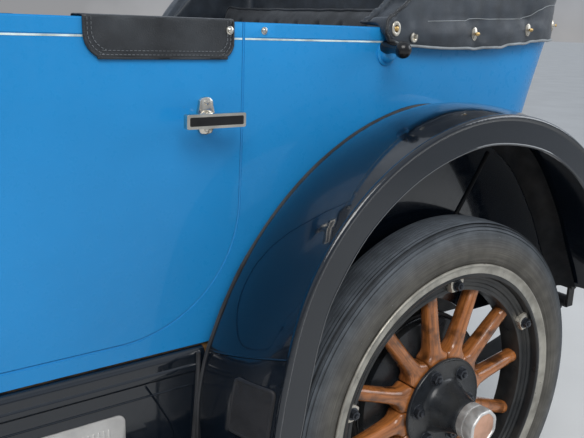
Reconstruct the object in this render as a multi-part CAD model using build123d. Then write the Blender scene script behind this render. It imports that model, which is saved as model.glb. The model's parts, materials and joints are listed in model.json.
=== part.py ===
"""A 1920s open touring car with its folding hood down.

Everything is modelled in millimetres from the rear axle: +X forward, +Y to the car's left, Z up from
the ground. export() moves each piece by REAR_AXLE_X, so that the row's origin lies on the ground
under the middle of the car.
"""
import os
from math import atan2, cos, degrees, radians, sin, sqrt

from build123d import *

# Driving sizes: wheels and track
WHEELBASE = 2946.0
TRACK = 1422.0
TYRE_R = 415.0
TYRE_HALF_WIDTH = 57.0
TYRE_TREAD_HALF = 34.0
RIM_FLANGE_R = 324.0
RIM_SEAT_R = 305.0
RIM_HALF_WIDTH = 52.0
RIM_FLANGE_T = 4.0
FELLOE_OUTER_R = 296.0
FELLOE_INNER_R = 262.0
FELLOE_HALF_WIDTH = 26.0
SPOKE_COUNT = 12
SPOKE_PHASE = 20.0
HUB_FLANGE_R = 109.0
HUB_FLANGE_T = 6.0
HUB_BORE_R = 20.0
HUB_BARREL_R = 42.0
HUB_BOLT_CIRCLE_R = 80.0
HUB_BOLTS = 6
SPOKE_DISC_R = 121.0
SPOKE_HALF_T = 23.0
HUB_NOSE_END = 103.0
CAP_END = 144.0
CAP_R = 37.0
LUG_ANGLES = (14.0, 89.0, 149.0, 224.0, 299.0)
DRUM_R = 178.0
DRUM_WIDTH = 58.0
DRUM_T = 6.0
SPINDLE_R = 19.0

# Driving sizes: overhangs, chassis
FRONT_OVERHANG = 509.0
REAR_OVERHANG = 722.0
RAIL_TOP = 620.0
RAIL_DEPTH = 120.0
RAIL_T = 6.0
RAIL_FLANGE = 50.0
CROSS_MEMBER_LOW = RAIL_TOP - 70.0
RAIL_REAR_Y = TRACK / 2 - 206.0
RAIL_FRONT_Y = TRACK / 2 - 311.0
RAIL_TAPER_START = WHEELBASE - 1246.0
RAIL_TAPER_END = WHEELBASE - 746.0
RAIL_FRONT_END = WHEELBASE + 260.0
REAR_SPRING_Y = RAIL_REAR_Y + 40.0
REAR_SPRING_FRONT_EYE = (620.0, 470.0)
REAR_SPRING_REAR_EYE = (-700.0, 460.0)
REAR_SPRING_LOW_Z = 335.0
FRONT_SPRING_Y = RAIL_FRONT_Y - 40.0
FRONT_SPRING_HALF = 455.0
FRONT_EYE_R = 10.0
REAR_EYE_R = 14.0
SHACKLE_PIN_R = 10.0
SHACKLE_LENGTH = 55.0
FRONT_BAR_X = WHEELBASE + 365.0
FRONT_BAR_Z = 545.0
FRONT_BAR_R = 18.0
FRONT_SPRING_EYE_Z = 470.0
LEAF_T = 7.0
LEAF_W = 50.0
LEAVES = 6
AXLE_TUBE_R = 38.0
KINGPIN_Y = TRACK / 2 - 103.0
KINGPIN_R = 12.0
STEER_ARM = 150.0

# Driving sizes: body
BODY_HALF_WIDTH = TRACK / 2 - 71.0
BODY_SILL_HALF_WIDTH = BODY_HALF_WIDTH - 18.0
BODY_MID_HALF_WIDTH = BODY_HALF_WIDTH - 4.0
BODY_TOP = 1208.0
BODY_MID_Z = 920.0
BODY_SILL_Z = 645.0
BODY_REAR_X = {BODY_SILL_Z: -345.0, BODY_MID_Z: -388.0, BODY_TOP: -478.0}
BODY_CORNER_R = 180.0
WALL = 40.0
COWL_REAR_X = 1750.0
TAPER_START_X = COWL_REAR_X - 650.0
COWL_REAR_HALF = BODY_HALF_WIDTH - 79.0
FIREWALL_X = COWL_REAR_X + 370.0
HOOD_REAR_HALF = 400.0
HOOD_FRONT_X = WHEELBASE - 78.0
HOOD_FRONT_HALF = 290.0
COWL_TOP_Z = 1252.0
HOOD_REAR_TOP_Z = 1228.0
HOOD_FRONT_TOP_Z = 1178.0
HOOD_BOTTOM_Z = 660.0
HOOD_ROD_R = 5.0
RADIATOR_BOTTOM_Z = 560.0
FILLER_NECK_R = 30.0
FILLER_TOP_Z = HOOD_FRONT_TOP_Z + 34
FILLER_FLANGE_H = 22.0
SHEET = 3.0
FLOOR_T = 25.0
DOOR_GAP = 5.0
DOOR_SILL_Z = 676.0
REAR_DOOR = (467.0, 1050.0)
STEERING_WHEEL_AT = (COWL_REAR_X - 300.0, 310.0, 1236.0)
STEERING_BOX_AT = (COWL_REAR_X + 580.0, 310.0, 622.0)
FRONT_DOOR = (COWL_REAR_X - 590.0, COWL_REAR_X - 50.0)
REAR_DOOR_CORNER_R = 225.0
DOOR_CORNER_R = 60.0
HINGE_Z = (750.0, 1080.0)
HINGE_R = 7.0
HINGE_H = 24.0
HINGE_OUT = 1.0
PIN_R = 3.0
HANDLE_Z = 1055.0
HANDLE_INSET = 73.0

# Driving sizes: fenders, running boards
FENDER_OUTER_Y = TRACK / 2 + 130.0
FENDER_T = 3.0
FENDER_SKIRT = 52.0
FENDER_CROWN = 14.0
FENDER_BEAD_R = 6.0
REAR_ARCH_CENTRE = (30.0, 559.0)
# Rear fender from its foot on the running board to its tail. Columns: angle round the arch's centre
# in degrees, radius of the inner edge at the body, radius of the outer edge.
REAR_FENDER_STATIONS = (
    (-19.5, 556.0, 552.0),
    (-11.5, 534.0, 514.0),
    (-5.0, 525.0, 498.0),
    (0.0, 520.0, 489.0),
    (7.0, 512.0, 484.0),
    (13.0, 503.0, 483.0),
    (20.0, 495.0, 487.0),
    (30.0, 487.0, 494.0),
    (45.0, 481.0, 499.0),
    (60.0, 482.0, 500.0),
    (75.0, 489.0, 500.0),
    (90.0, 497.0, 500.0),
    (110.0, 500.0, 500.0),
    (130.0, 500.0, 500.0),
    (150.0, 500.0, 500.0),
    (165.0, 518.0, 518.0),
    (179.0, 571.0, 571.0),
)
DRUM_CUTOUT_R = 215.0
FRONT_ARCH_R = 500.0
FRONT_ARCH_Z = 462.0
BOARD_TOP_Z = 392.0
BOARD_T = 26.0
BOARD_REAR_X = 534.0
BOARD_FRONT_X = WHEELBASE - 886.0
MAT_T = 4.0
MAT_INSET = 76.0
APRON_Y = BODY_HALF_WIDTH - 6.0
APRON_T = 3.0

BOOT_FRONT_X = 174.0
BOOT_OUT = 26.0
SEAT_GAP = 0.3
REAR_AXLE_X = -(WHEELBASE + FRONT_OVERHANG - REAR_OVERHANG) / 2


def export(name, *shapes):
    """Write one node, moved to the row's frame."""
    solids = [s for shape in shapes for s in shape.solids()]
    placed = [Pos(REAR_AXLE_X, 0, 0) * s for s in solids]
    export_step(placed[0] if len(placed) == 1 else Compound(children=placed), f"parts/{name}.step")


def mirrored(shape):
    """The same piece on the car's other side."""
    return shape.mirror(Plane.XZ)


def box(x0, x1, y0, y1, z0, z1):
    """A block between two corners."""
    return Pos((x0 + x1) / 2, (y0 + y1) / 2, (z0 + z1) / 2) * Box(x1 - x0, y1 - y0, z1 - z0)


def rod(a, b, radius):
    """A round bar from point a to point b."""
    axis = Vector(*b) - Vector(*a)
    return extrude(Plane(origin=a, z_dir=axis) * Circle(radius), axis.length)


def side_prism(outline, y0, y1):
    """A face drawn in side view (x, z), carried from y0 to y1."""
    return extrude(Plane(origin=(0, y1, 0), x_dir=(1, 0, 0), z_dir=(0, -1, 0)) * outline, y1 - y0)


def plan_prism(outline, z0, z1):
    """A face drawn in plan (x, y), carried from z0 to z1."""
    return extrude(Pos(0, 0, z0) * outline, z1 - z0)


def turned(profile):
    """A face drawn as (y, r) and turned about the wheel's axis, Y."""
    face = Plane(origin=(0, 0, 0), x_dir=(0, 1, 0), z_dir=(1, 0, 0)) * profile
    return revolve(face, Axis.Y)


# Wheels
def tyre():
    """High pressure tyre: straight beads, round sidewalls and a flat tread."""
    bead = RIM_HALF_WIDTH - RIM_FLANGE_T - SEAT_GAP
    bead_r = RIM_SEAT_R + SEAT_GAP
    shoulder = (TYRE_TREAD_HALF + 11, TYRE_R - 14)
    side = (TYRE_HALF_WIDTH, (TYRE_R + RIM_FLANGE_R) / 2 - 8)
    flange = RIM_FLANGE_R + 1
    line = Polyline((-bead, flange), (-bead, bead_r), (bead, bead_r), (bead, flange))
    line += ThreePointArc((bead, flange), side, shoulder)
    line += ThreePointArc(shoulder, (TYRE_TREAD_HALF + 5, TYRE_R - 4), (TYRE_TREAD_HALF, TYRE_R))
    line += Line((TYRE_TREAD_HALF, TYRE_R), (-TYRE_TREAD_HALF, TYRE_R))
    left = (-shoulder[0], shoulder[1])
    line += ThreePointArc((-TYRE_TREAD_HALF, TYRE_R), (-TYRE_TREAD_HALF - 5, TYRE_R - 4), left)
    line += ThreePointArc(left, (-side[0], side[1]), (-bead, flange))
    return turned(make_face(line))


def rim():
    """Demountable steel rim with two side flanges."""
    base = FELLOE_OUTER_R + SEAT_GAP
    inner = RIM_HALF_WIDTH - RIM_FLANGE_T
    outline = Polyline(
        (-RIM_HALF_WIDTH, base), (RIM_HALF_WIDTH, base), (RIM_HALF_WIDTH, RIM_FLANGE_R),
        (inner, RIM_FLANGE_R), (inner, RIM_SEAT_R), (-inner, RIM_SEAT_R),
        (-inner, RIM_FLANGE_R), (-RIM_HALF_WIDTH, RIM_FLANGE_R), close=True,
    )
    return turned(make_face(outline))


def felloe():
    """Steel felloe band with the wedge clamps and nuts that hold the rim."""
    band = FELLOE_HALF_WIDTH
    outline = Polyline(
        (-band, FELLOE_INNER_R), (band, FELLOE_INNER_R), (band, FELLOE_OUTER_R - 6),
        (band + 6, FELLOE_OUTER_R), (-band, FELLOE_OUTER_R), close=True,
    )
    ring = turned(make_face(outline))
    clamp_y = band + 12
    lug = box(-13, 13, band - 4, clamp_y, FELLOE_INNER_R + 4, FELLOE_OUTER_R - 2)
    nut = Pos(0, clamp_y + 16, FELLOE_INNER_R + 20) * Rot(90, 0, 0) * extrude(RegularPolygon(11, 6), 18)
    for angle in LUG_ANGLES:
        ring += Rot(0, 90 - angle, 0) * (lug + nut)
    return ring


def spokes():
    """Twelve turned hickory spokes, mitred together round the hub. Columns: radius, width, depth."""
    stations = (
        (96.0, 58.0, 44.0),
        (142.0, 39.0, 43.0),
        (200.0, 33.0, 38.0),
        (FELLOE_INNER_R - 0.8, 31.0, 36.0),
    )
    sections = [Pos(0, 0, r) * Ellipse(width / 2, depth / 2) for r, width, depth in stations]
    spoke = loft(sections)
    half = SPOKE_HALF_T
    disc = turned(make_face(Polyline(
        (-half, HUB_BARREL_R + SEAT_GAP), (half, HUB_BARREL_R + SEAT_GAP), (half, HUB_FLANGE_R + 2),
        (half - 5, SPOKE_DISC_R), (-half + 5, SPOKE_DISC_R), (-half, HUB_FLANGE_R + 2), close=True,
    )))
    ring = [Rot(0, 90 - SPOKE_PHASE - i * 360 / SPOKE_COUNT, 0) * spoke for i in range(SPOKE_COUNT)]
    core = turned(make_face(Polyline(
        (-60, 0), (60, 0), (60, HUB_BARREL_R + SEAT_GAP), (-60, HUB_BARREL_R + SEAT_GAP), close=True,
    )))
    return disc.fuse(*ring) - core


def hub(drum):
    """Hub shell with its two flanges, six nuts and screwed cap; a driven hub also carries its drum."""
    face = SPOKE_HALF_T + SEAT_GAP
    back = -face - HUB_FLANGE_T
    tail = back - 20
    outline = Polyline(
        (tail, HUB_BORE_R), (HUB_NOSE_END - 8, HUB_BORE_R), (HUB_NOSE_END - 8, 0), (CAP_END, 0),
        (CAP_END, CAP_R - 4), (CAP_END - 4, CAP_R), (HUB_NOSE_END + 4, CAP_R), (HUB_NOSE_END + 2, CAP_R - 3),
        (HUB_NOSE_END - 6, 38), (HUB_NOSE_END - 30, 42), (face + 26, 56), (face + HUB_FLANGE_T, 62),
        (face + HUB_FLANGE_T, HUB_FLANGE_R), (face, HUB_FLANGE_R), (face, HUB_BARREL_R),
        (-face, HUB_BARREL_R), (-face, HUB_FLANGE_R), (back, HUB_FLANGE_R), (back, 50), (tail, 46),
        close=True,
    )
    shell = turned(make_face(outline))
    hexagon = extrude(RegularPolygon(11, 6), 12)
    nut = Pos(0, face + HUB_FLANGE_T + 11, HUB_BOLT_CIRCLE_R) * Rot(90, 0, 0) * hexagon
    for i in range(HUB_BOLTS):
        shell += Rot(0, i * 360 / HUB_BOLTS + 24, 0) * nut
    if drum:
        lip = back - DRUM_WIDTH
        shell += turned(make_face(Polyline(
            (back, HUB_BARREL_R), (back, DRUM_R), (lip, DRUM_R), (lip, DRUM_R - DRUM_T),
            (back - DRUM_T, DRUM_R - DRUM_T), (back - DRUM_T, HUB_BARREL_R), close=True,
        )))
    return shell


def build_wheels():
    """Four wheels. Columns: node suffix, x from the rear axle, side, drum."""
    rubber = tyre()
    wood = spokes()
    steel = {True: [rim(), felloe(), hub(True)], False: [rim(), felloe(), hub(False)]}
    places = (
        ("front_left", WHEELBASE, 1, False),
        ("front_right", WHEELBASE, -1, False),
        ("rear_left", 0.0, 1, True),
        ("rear_right", 0.0, -1, True),
    )
    for name, x, side, drum in places:
        for node, pieces in (("tyre", [rubber]), ("spokes", [wood]), ("rim_and_hub", steel[drum])):
            placed = [Pos(x, TRACK / 2, TYRE_R) * p for p in pieces]
            export(f"{node}_{name}", *(placed if side > 0 else [mirrored(p) for p in placed]))


# Chassis
def rail_strip(width, x0=-REAR_OVERHANG, x1=RAIL_FRONT_END):
    """Plan outline of a rail's strip, from its outer face inwards."""
    outer = [
        (x0, RAIL_REAR_Y), (RAIL_TAPER_START, RAIL_REAR_Y),
        (RAIL_TAPER_END, RAIL_FRONT_Y), (x1, RAIL_FRONT_Y),
    ]
    inner = [(x, y - width) for x, y in reversed(outer)]
    return make_face(Polyline(*outer, *inner, close=True))


def side_rail():
    """Pressed steel channel with its flanges inwards, its front horn and its spring brackets."""
    bottom = RAIL_TOP - RAIL_DEPTH
    rail = plan_prism(rail_strip(RAIL_T), bottom, RAIL_TOP)
    for z0 in (bottom, RAIL_TOP - RAIL_T):
        rail += plan_prism(rail_strip(RAIL_FLANGE), z0, z0 + RAIL_T)
    eye_x = WHEELBASE + FRONT_SPRING_HALF
    horn_x = WHEELBASE + 200
    horn = make_face(
        Polyline((horn_x, bottom + RAIL_T), (eye_x - 25, FRONT_SPRING_EYE_Z - 14))
        + ThreePointArc((eye_x - 25, FRONT_SPRING_EYE_Z - 14), (eye_x + 28, FRONT_SPRING_EYE_Z - 5),
                        (eye_x, FRONT_SPRING_EYE_Z + 29))
        + ThreePointArc((eye_x, FRONT_SPRING_EYE_Z + 29), (eye_x - 100, RAIL_TOP - 40), (horn_x, RAIL_TOP))
        + Line((horn_x, RAIL_TOP), (horn_x, bottom + RAIL_T))
    )
    rail += side_prism(horn, RAIL_FRONT_Y - 12, RAIL_FRONT_Y)
    back_x = WHEELBASE - FRONT_SPRING_HALF
    z = FRONT_SPRING_EYE_Z
    for x in (eye_x, back_x):
        pin_y = FRONT_SPRING_Y - LEAF_W / 2 - 6
        rail += rod((x, pin_y, z), (x, RAIL_FRONT_Y - 2, z), FRONT_EYE_R - SEAT_GAP)
    rail += box(back_x - 16, back_x + 16, RAIL_FRONT_Y - 12, RAIL_FRONT_Y, z - 14, bottom + 4)
    return rail


def build_frame():
    """Ladder frame: two rails, cross members, spring hangers and running board irons."""
    rail = side_rail()
    bottom = RAIL_TOP - RAIL_DEPTH
    inner_rear = RAIL_REAR_Y - RAIL_T
    inner_front = RAIL_FRONT_Y - RAIL_T
    frame = rail + mirrored(rail)
    for x in (-430.0, 420.0, 1250.0):
        frame += box(x, x + 60, -inner_rear, inner_rear, CROSS_MEMBER_LOW, RAIL_TOP - RAIL_T)
    frame += box(HOOD_FRONT_X - 8, HOOD_FRONT_X + 92, -inner_front, inner_front,
                 bottom + RAIL_T, RADIATOR_BOTTOM_Z - SEAT_GAP)
    bar = rod((FRONT_BAR_X, -inner_front, FRONT_BAR_Z), (FRONT_BAR_X, inner_front, FRONT_BAR_Z), FRONT_BAR_R)
    frame += bar
    fx, fz = REAR_SPRING_FRONT_EYE
    rx, rz = REAR_SPRING_REAR_EYE
    half = LEAF_W / 2
    for side in (1, -1):
        for x, z in ((fx, fz), (rx, rz + SHACKLE_LENGTH)):
            hanger = rod((x, RAIL_REAR_Y - 4, z), (x, REAR_SPRING_Y + half + 14, z), REAR_EYE_R)
            high = max(z + 22, bottom + 40)
            hanger += box(x - 22, x + 22, RAIL_REAR_Y - 1, RAIL_REAR_Y + 6, z - 22, high)
            frame += hanger if side > 0 else mirrored(hanger)
        for x, rail_y in ((BOARD_REAR_X + 286, RAIL_REAR_Y), (BOARD_FRONT_X - 200, RAIL_REAR_Y - 60)):
            under = BOARD_TOP_Z - BOARD_T - SEAT_GAP
            iron = box(x - 20, x + 20, rail_y - 2, FENDER_OUTER_Y - 30, under - 10, under)
            iron += box(x - 20, x + 20, rail_y - 2, rail_y + 8, under - 10, bottom + 60)
            frame += iron if side > 0 else mirrored(iron)
    export("chassis_frame", frame)


def leaf_pack(x_mid, z_low, front, rear, y):
    """A semi-elliptic pack: a main leaf through both eyes, and shorter leaves under it."""
    (fx, fz), (rx, rz) = front, rear
    half_len = (fx - rx) / 2
    sag = (fz + rz) / 2 - z_low
    radius = (half_len ** 2 + sag ** 2) / (2 * sag)
    centre = ((fx + rx) / 2, z_low + radius)
    pack = None
    for i in range(LEAVES):
        reach = half_len * (1 - 0.145 * i)
        r0 = radius + i * LEAF_T
        angle = degrees(reach / radius)
        tilt = degrees(atan2(fz - rz, fx - rx)) if i == 0 else 0
        arc = CenterArc(centre, r0, -90 - angle + tilt, 2 * angle)
        arc2 = CenterArc(centre, r0 + LEAF_T, -90 - angle + tilt, 2 * angle)
        face = make_face(arc + arc2 + Line(arc @ 0, arc2 @ 0) + Line(arc @ 1, arc2 @ 1))
        leaf = side_prism(face, y - LEAF_W / 2, y + LEAF_W / 2)
        pack = leaf if pack is None else pack + leaf
    return pack


def spring_eye(x, z, y, bore):
    """The rolled eye at a leaf's end."""
    width = LEAF_W / 2
    ring = rod((x, y - width, z), (x, y + width, z), bore + 8)
    hole = rod((x, y - width - 1, z), (x, y + width + 1, z), bore)
    return ring, hole


def build_springs():
    """Two front packs on the axle beam and two rear packs slung under the axle."""
    packs = []
    rear = leaf_pack(0, REAR_SPRING_LOW_Z, REAR_SPRING_FRONT_EYE, REAR_SPRING_REAR_EYE, REAR_SPRING_Y)
    for eye, bore in ((REAR_SPRING_FRONT_EYE, REAR_EYE_R + SEAT_GAP), (REAR_SPRING_REAR_EYE, SHACKLE_PIN_R)):
        ring, hole = spring_eye(*eye, REAR_SPRING_Y, bore)
        rear = rear + ring - hole
    rx, rz = REAR_SPRING_REAR_EYE
    inner, outer = REAR_SPRING_Y - LEAF_W / 2, REAR_SPRING_Y + LEAF_W / 2
    shackle = rod((rx, inner - 8, rz), (rx, outer + 8, rz), SHACKLE_PIN_R - SEAT_GAP)
    high = rz + SHACKLE_LENGTH
    for y in (inner - 8, outer + 1):
        plate = box(rx - 13, rx + 13, y, y + 7, rz - 12, high + 13)
        shackle += plate - rod((rx, y - 1, high), (rx, y + 8, high), REAR_EYE_R + SEAT_GAP)
    packs += [rear, shackle]
    front_eye = (WHEELBASE + FRONT_SPRING_HALF, FRONT_SPRING_EYE_Z)
    back_eye = (WHEELBASE - FRONT_SPRING_HALF, FRONT_SPRING_EYE_Z)
    front = leaf_pack(WHEELBASE, 421.0, front_eye, back_eye, FRONT_SPRING_Y)
    for eye in (front_eye, back_eye):
        ring, hole = spring_eye(*eye, FRONT_SPRING_Y, FRONT_EYE_R)
        front = front + ring - hole
    packs.append(front)
    export("leaf_springs", *packs, *[mirrored(p) for p in packs])


def build_rear_axle():
    """Axle housing with banjo, torque tube, spring pads and backing plates."""
    lip = TRACK / 2 - SPOKE_HALF_T - SEAT_GAP - HUB_FLANGE_T - DRUM_WIDTH
    plate_y = lip - 3
    housing = rod((0, -plate_y, TYRE_R), (0, plate_y, TYRE_R), AXLE_TUBE_R)
    housing += rod((0, -60, TYRE_R), (0, 60, TYRE_R), 118)
    spindle_end = TRACK / 2 + HUB_NOSE_END - 14
    for side in (1, -1):
        cone = loft([
            Plane(origin=(0, side * 60, TYRE_R), z_dir=(0, side, 0)) * Circle(112),
            Plane(origin=(0, side * 190, TYRE_R), z_dir=(0, side, 0)) * Circle(AXLE_TUBE_R + 4),
        ])
        housing += cone
        housing += rod((0, side * (plate_y - 6), TYRE_R), (0, side * plate_y, TYRE_R), DRUM_R + 5)
        housing += rod((0, side * (plate_y - 2), TYRE_R), (0, side * spindle_end, TYRE_R), SPINDLE_R)
        y = side * REAR_SPRING_Y
        top = REAR_SPRING_LOW_Z + 3
        housing += box(-55, 55, min(y - 26, y + 26), max(y - 26, y + 26), top, TYRE_R)
    gearbox_x = FIREWALL_X - 220
    housing += rod((60, 0, TYRE_R), (gearbox_x - 2.6, 0, 535), 34)
    export("rear_axle", housing)


def build_front_axle():
    """Drop-forged I beam with spring pads and kingpin bosses."""
    top, low = 375.0, 315.0
    boss_top, boss_low = 452.0, 378.0
    end = KINGPIN_Y
    drop = KINGPIN_Y - 108.0
    under = [(drop - 20, low), (drop + 40, boss_low), (end, boss_low)]
    over = [(end, boss_top), (drop + 40, boss_top), (drop - 20, top)]
    outline = under + over
    outline += [(-y, z) for y, z in reversed(outline)]
    face = Plane.YZ * make_face(Polyline(*outline, close=True))
    beam = Pos(WHEELBASE - 26, 0, 0) * extrude(face, 52)
    for x in (WHEELBASE - 30, WHEELBASE + 10):
        beam -= box(x, x + 20, -drop + 60, drop - 60, low + 12, top - 12)
    pad_top = 421 - LEAVES * LEAF_T - SEAT_GAP
    for side in (1, -1):
        y = side * end
        beam += rod((WHEELBASE, y, boss_low - 2), (WHEELBASE, y, boss_top + 2), 24)
        beam -= rod((WHEELBASE, y, boss_low - 10), (WHEELBASE, y, boss_top + 10), KINGPIN_R + SEAT_GAP)
        s = side * FRONT_SPRING_Y
        beam += box(WHEELBASE - 50, WHEELBASE + 50, s - 27, s + 27, top - 6, pad_top)
    export("front_axle", beam)


def knuckle():
    """Left stub axle: forked round the beam's boss, with kingpin, spindle and steering arm."""
    x, y = WHEELBASE, KINGPIN_Y
    ear_low, ear_top = 352.0, 478.0
    fork = rod((x, y, ear_low), (x, y, 372), 24) + rod((x, y, 458), (x, y, ear_top), 24)
    web_y = y + 30
    fork += box(x - 22, x + 22, y, web_y + 15, ear_low, 372)
    fork += box(x - 22, x + 22, y, web_y + 15, 458, ear_top)
    fork += box(x - 22, x + 22, web_y, web_y + 15, ear_low, ear_top)
    fork += rod((x, y, ear_low - 6), (x, y, ear_top + 6), KINGPIN_R)
    fork += rod((x, web_y, TYRE_R), (x, TRACK / 2 + HUB_NOSE_END - 14, TYRE_R), SPINDLE_R)
    arm = box(x - STEER_ARM, x, y - 11, y + 11, ear_low, ear_low + 16)
    arm += rod((x - STEER_ARM, y, ear_low - 34), (x - STEER_ARM, y, ear_low + 16), 15)
    arm -= rod((x - STEER_ARM, y, ear_low - 40), (x - STEER_ARM, y, ear_low - 2), 40)
    arm += rod((x - STEER_ARM, y, ear_low - 34), (x - STEER_ARM, y, ear_low), 9)
    return fork + arm


def build_steering():
    """Knuckles, tie rod, column with its box, and the steering wheel."""
    left = knuckle()
    export("knuckle_left", left)
    export("knuckle_right", mirrored(left))
    x = WHEELBASE - STEER_ARM
    z = 331.0
    bar = rod((x, -KINGPIN_Y + 20, z), (x, KINGPIN_Y - 20, z), 12)
    for side in (1, -1):
        y = side * KINGPIN_Y
        bar += rod((x, y, z - 12), (x, y, z + 12), 21)
        bar -= rod((x, y, z - 20), (x, y, z + 20), 9 + (0.5 if side > 0 else 2.0))
    export("tie_rod", bar)


def build_column():
    """Steering column with its gear box, and the wheel with four spokes."""
    top = Vector(*STEERING_WHEEL_AT)
    foot = Vector(*STEERING_BOX_AT)
    axis = (foot - top).normalized()
    start = top + axis * (32 + SEAT_GAP)
    column = rod(tuple(start), tuple(foot), 18)
    inner = RAIL_FRONT_Y - RAIL_T - SEAT_GAP
    x0, x1 = foot.X - 60, foot.X + 60
    y0 = foot.Y - 30
    column += box(x0, x1, y0, RAIL_FRONT_Y - RAIL_FLANGE - 2, foot.Z - 82, foot.Z + 38)
    column += box(x0, x1, y0, inner, foot.Z - 82, RAIL_TOP - RAIL_T - 2)
    export("steering_column", column)
    plane = Plane(origin=top, z_dir=axis)
    ring_r, grip = 205.0, 13.0
    profile = Plane(origin=top + plane.x_dir * ring_r, x_dir=plane.x_dir, z_dir=plane.y_dir) * Circle(grip)
    wheel = revolve(profile, Axis(top, axis))
    wheel += extrude(Plane(origin=top - axis * 14, z_dir=axis) * Circle(30), 46)
    for k in range(4):
        d = plane.x_dir.rotate(Axis((0, 0, 0), axis), 45 + 90 * k)
        wheel += rod(tuple(top), tuple(top + d * (ring_r - 4)), 8)
    export("steering_wheel", wheel)


def build_engine():
    """The engine with its gearbox as one plain block, the exhaust and the fuel tank."""
    rear = FIREWALL_X + 80
    front = HOOD_FRONT_X - 68
    engine = box(rear, front, -150, 150, 470, 1060) + box(rear - 300, rear, -110, 110, 430, 640)
    foot = RAIL_FRONT_Y - RAIL_T - SEAT_GAP
    floor_z = RAIL_TOP - RAIL_DEPTH + RAIL_T + SEAT_GAP
    engine += box(front - 240, front - 180, -foot, foot, floor_z, floor_z + 50)
    export("engine_block", engine)
    port = front - 150
    low, high, y = 440, 515, -300
    path = FilletPolyline(
        (port, -200, 700), (port - 300, -230, 480), (RAIL_TAPER_START - 200, y, low), (360, y, low),
        (120, y, high), (-490, y, high), radius=70,
    )
    exhaust = sweep(Plane(origin=path @ 0, z_dir=path % 0) * Circle(22), path=path)
    exhaust += rod((1250, y, low), (700, y, low), 75)
    exhaust += rod((port, -150 - SEAT_GAP, 700), (port, -200, 700), 30)
    for x, z in ((450, low), (-400, high)):
        exhaust += box(x - 10, x + 10, y - 6, y + 6, z, CROSS_MEMBER_LOW - SEAT_GAP)
    export("exhaust", exhaust)
    tank_x, tank_z = -250, 522
    tank = rod((tank_x, -240, tank_z), (tank_x, 400, tank_z), 88)
    for y in (-180, 340):
        tank += box(tank_x - 120 + SEAT_GAP, tank_x, y - 20, y + 20, tank_z + 74, tank_z + 84)
    export("fuel_tank", tank)


# Body
def tub_outline(z, inset=0.0, front=COWL_REAR_X):
    """Plan outline of the body at height z, closed across the front. Inset is inwards."""
    halves = {BODY_SILL_Z: BODY_SILL_HALF_WIDTH, BODY_MID_Z: BODY_MID_HALF_WIDTH, BODY_TOP: BODY_HALF_WIDTH}
    half = halves[z] - inset
    rear = BODY_REAR_X[z] + inset
    r = BODY_CORNER_R - inset
    drop = BODY_HALF_WIDTH - COWL_REAR_HALF
    run = COWL_REAR_X - TAPER_START_X
    big = (run ** 2 + drop ** 2) / (2 * drop)
    ahead = front - TAPER_START_X
    end_y = half - (big - sqrt(big ** 2 - ahead ** 2))
    mid = ahead / 2
    mid_y = half - (big - sqrt(big ** 2 - mid ** 2))
    k = r * (1 - cos(radians(45)))
    points = {}
    for side in (1, -1):
        points[side] = (
            Vector(front, side * end_y), Vector(TAPER_START_X + mid, side * mid_y),
            Vector(TAPER_START_X, side * half), Vector(rear + r, side * half),
            Vector(rear + k, side * (half - k)), Vector(rear, side * (half - r)),
        )
    left, right = points[1], points[-1]
    line = ThreePointArc(left[0], left[1], left[2]) + Line(left[2], left[3])
    line += ThreePointArc(left[3], left[4], left[5]) + Line(left[5], right[5])
    line += ThreePointArc(right[5], right[4], right[3]) + Line(right[3], right[2])
    line += ThreePointArc(right[2], right[1], right[0]) + Line(right[0], left[0])
    return make_face(line)


def tub_solid(inset=0.0, front=COWL_REAR_X, extra=0.0):
    """The body's outer form, or its hollow when inset, as a loft up through three outlines."""
    levels = ((BODY_SILL_Z, -extra), (BODY_MID_Z, 0.0), (BODY_TOP, extra))
    return loft([Pos(0, 0, z + lift) * tub_outline(z, inset, front) for z, lift in levels])


def door_outline(span, grow, rear_r, front_r):
    """Side view of a door, open at the top: straight edges and two round lower corners."""
    x0, x1 = span[0] - grow, span[1] + grow
    z0 = DOOR_SILL_Z - grow
    top = BODY_TOP + 60
    rr, fr = rear_r + grow, front_r + grow
    k = 1 - cos(radians(45))
    line = Line((x0, top), (x0, z0 + rr))
    line += ThreePointArc((x0, z0 + rr), (x0 + rr * k, z0 + rr * k), (x0 + rr, z0))
    line += Line((x0 + rr, z0), (x1 - fr, z0))
    line += ThreePointArc((x1 - fr, z0), (x1 - fr * k, z0 + fr * k), (x1, z0 + fr))
    line += Line((x1, z0 + fr), (x1, top)) + Line((x1, top), (x0, top))
    return make_face(line)


def skin_y(x):
    """Half width of the body's top edge at x."""
    if x <= TAPER_START_X:
        return BODY_HALF_WIDTH
    drop = BODY_HALF_WIDTH - COWL_REAR_HALF
    run = COWL_REAR_X - TAPER_START_X
    big = (run ** 2 + drop ** 2) / (2 * drop)
    return BODY_HALF_WIDTH - (big - sqrt(big ** 2 - (x - TAPER_START_X) ** 2))


def door_handle(x):
    """Lever handle on a tapered escutcheon, on the left side at x."""
    y = skin_y(x) - 1.5
    half = [(13, -20), (16, 0), (8, 30)]
    outline = half + [(-dx, dz) for dx, dz in reversed(half)]
    plate = make_face(Polyline(*[(x + dx, HANDLE_Z + dz) for dx, dz in outline], close=True))
    handle = side_prism(plate, y, y + 6)
    handle += rod((x, y, HANDLE_Z), (x, y + 46, HANDLE_Z), 9)
    handle += box(x - 46, x + 58, y + 42, y + 52, HANDLE_Z - 10, HANDLE_Z + 10)
    return handle


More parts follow.
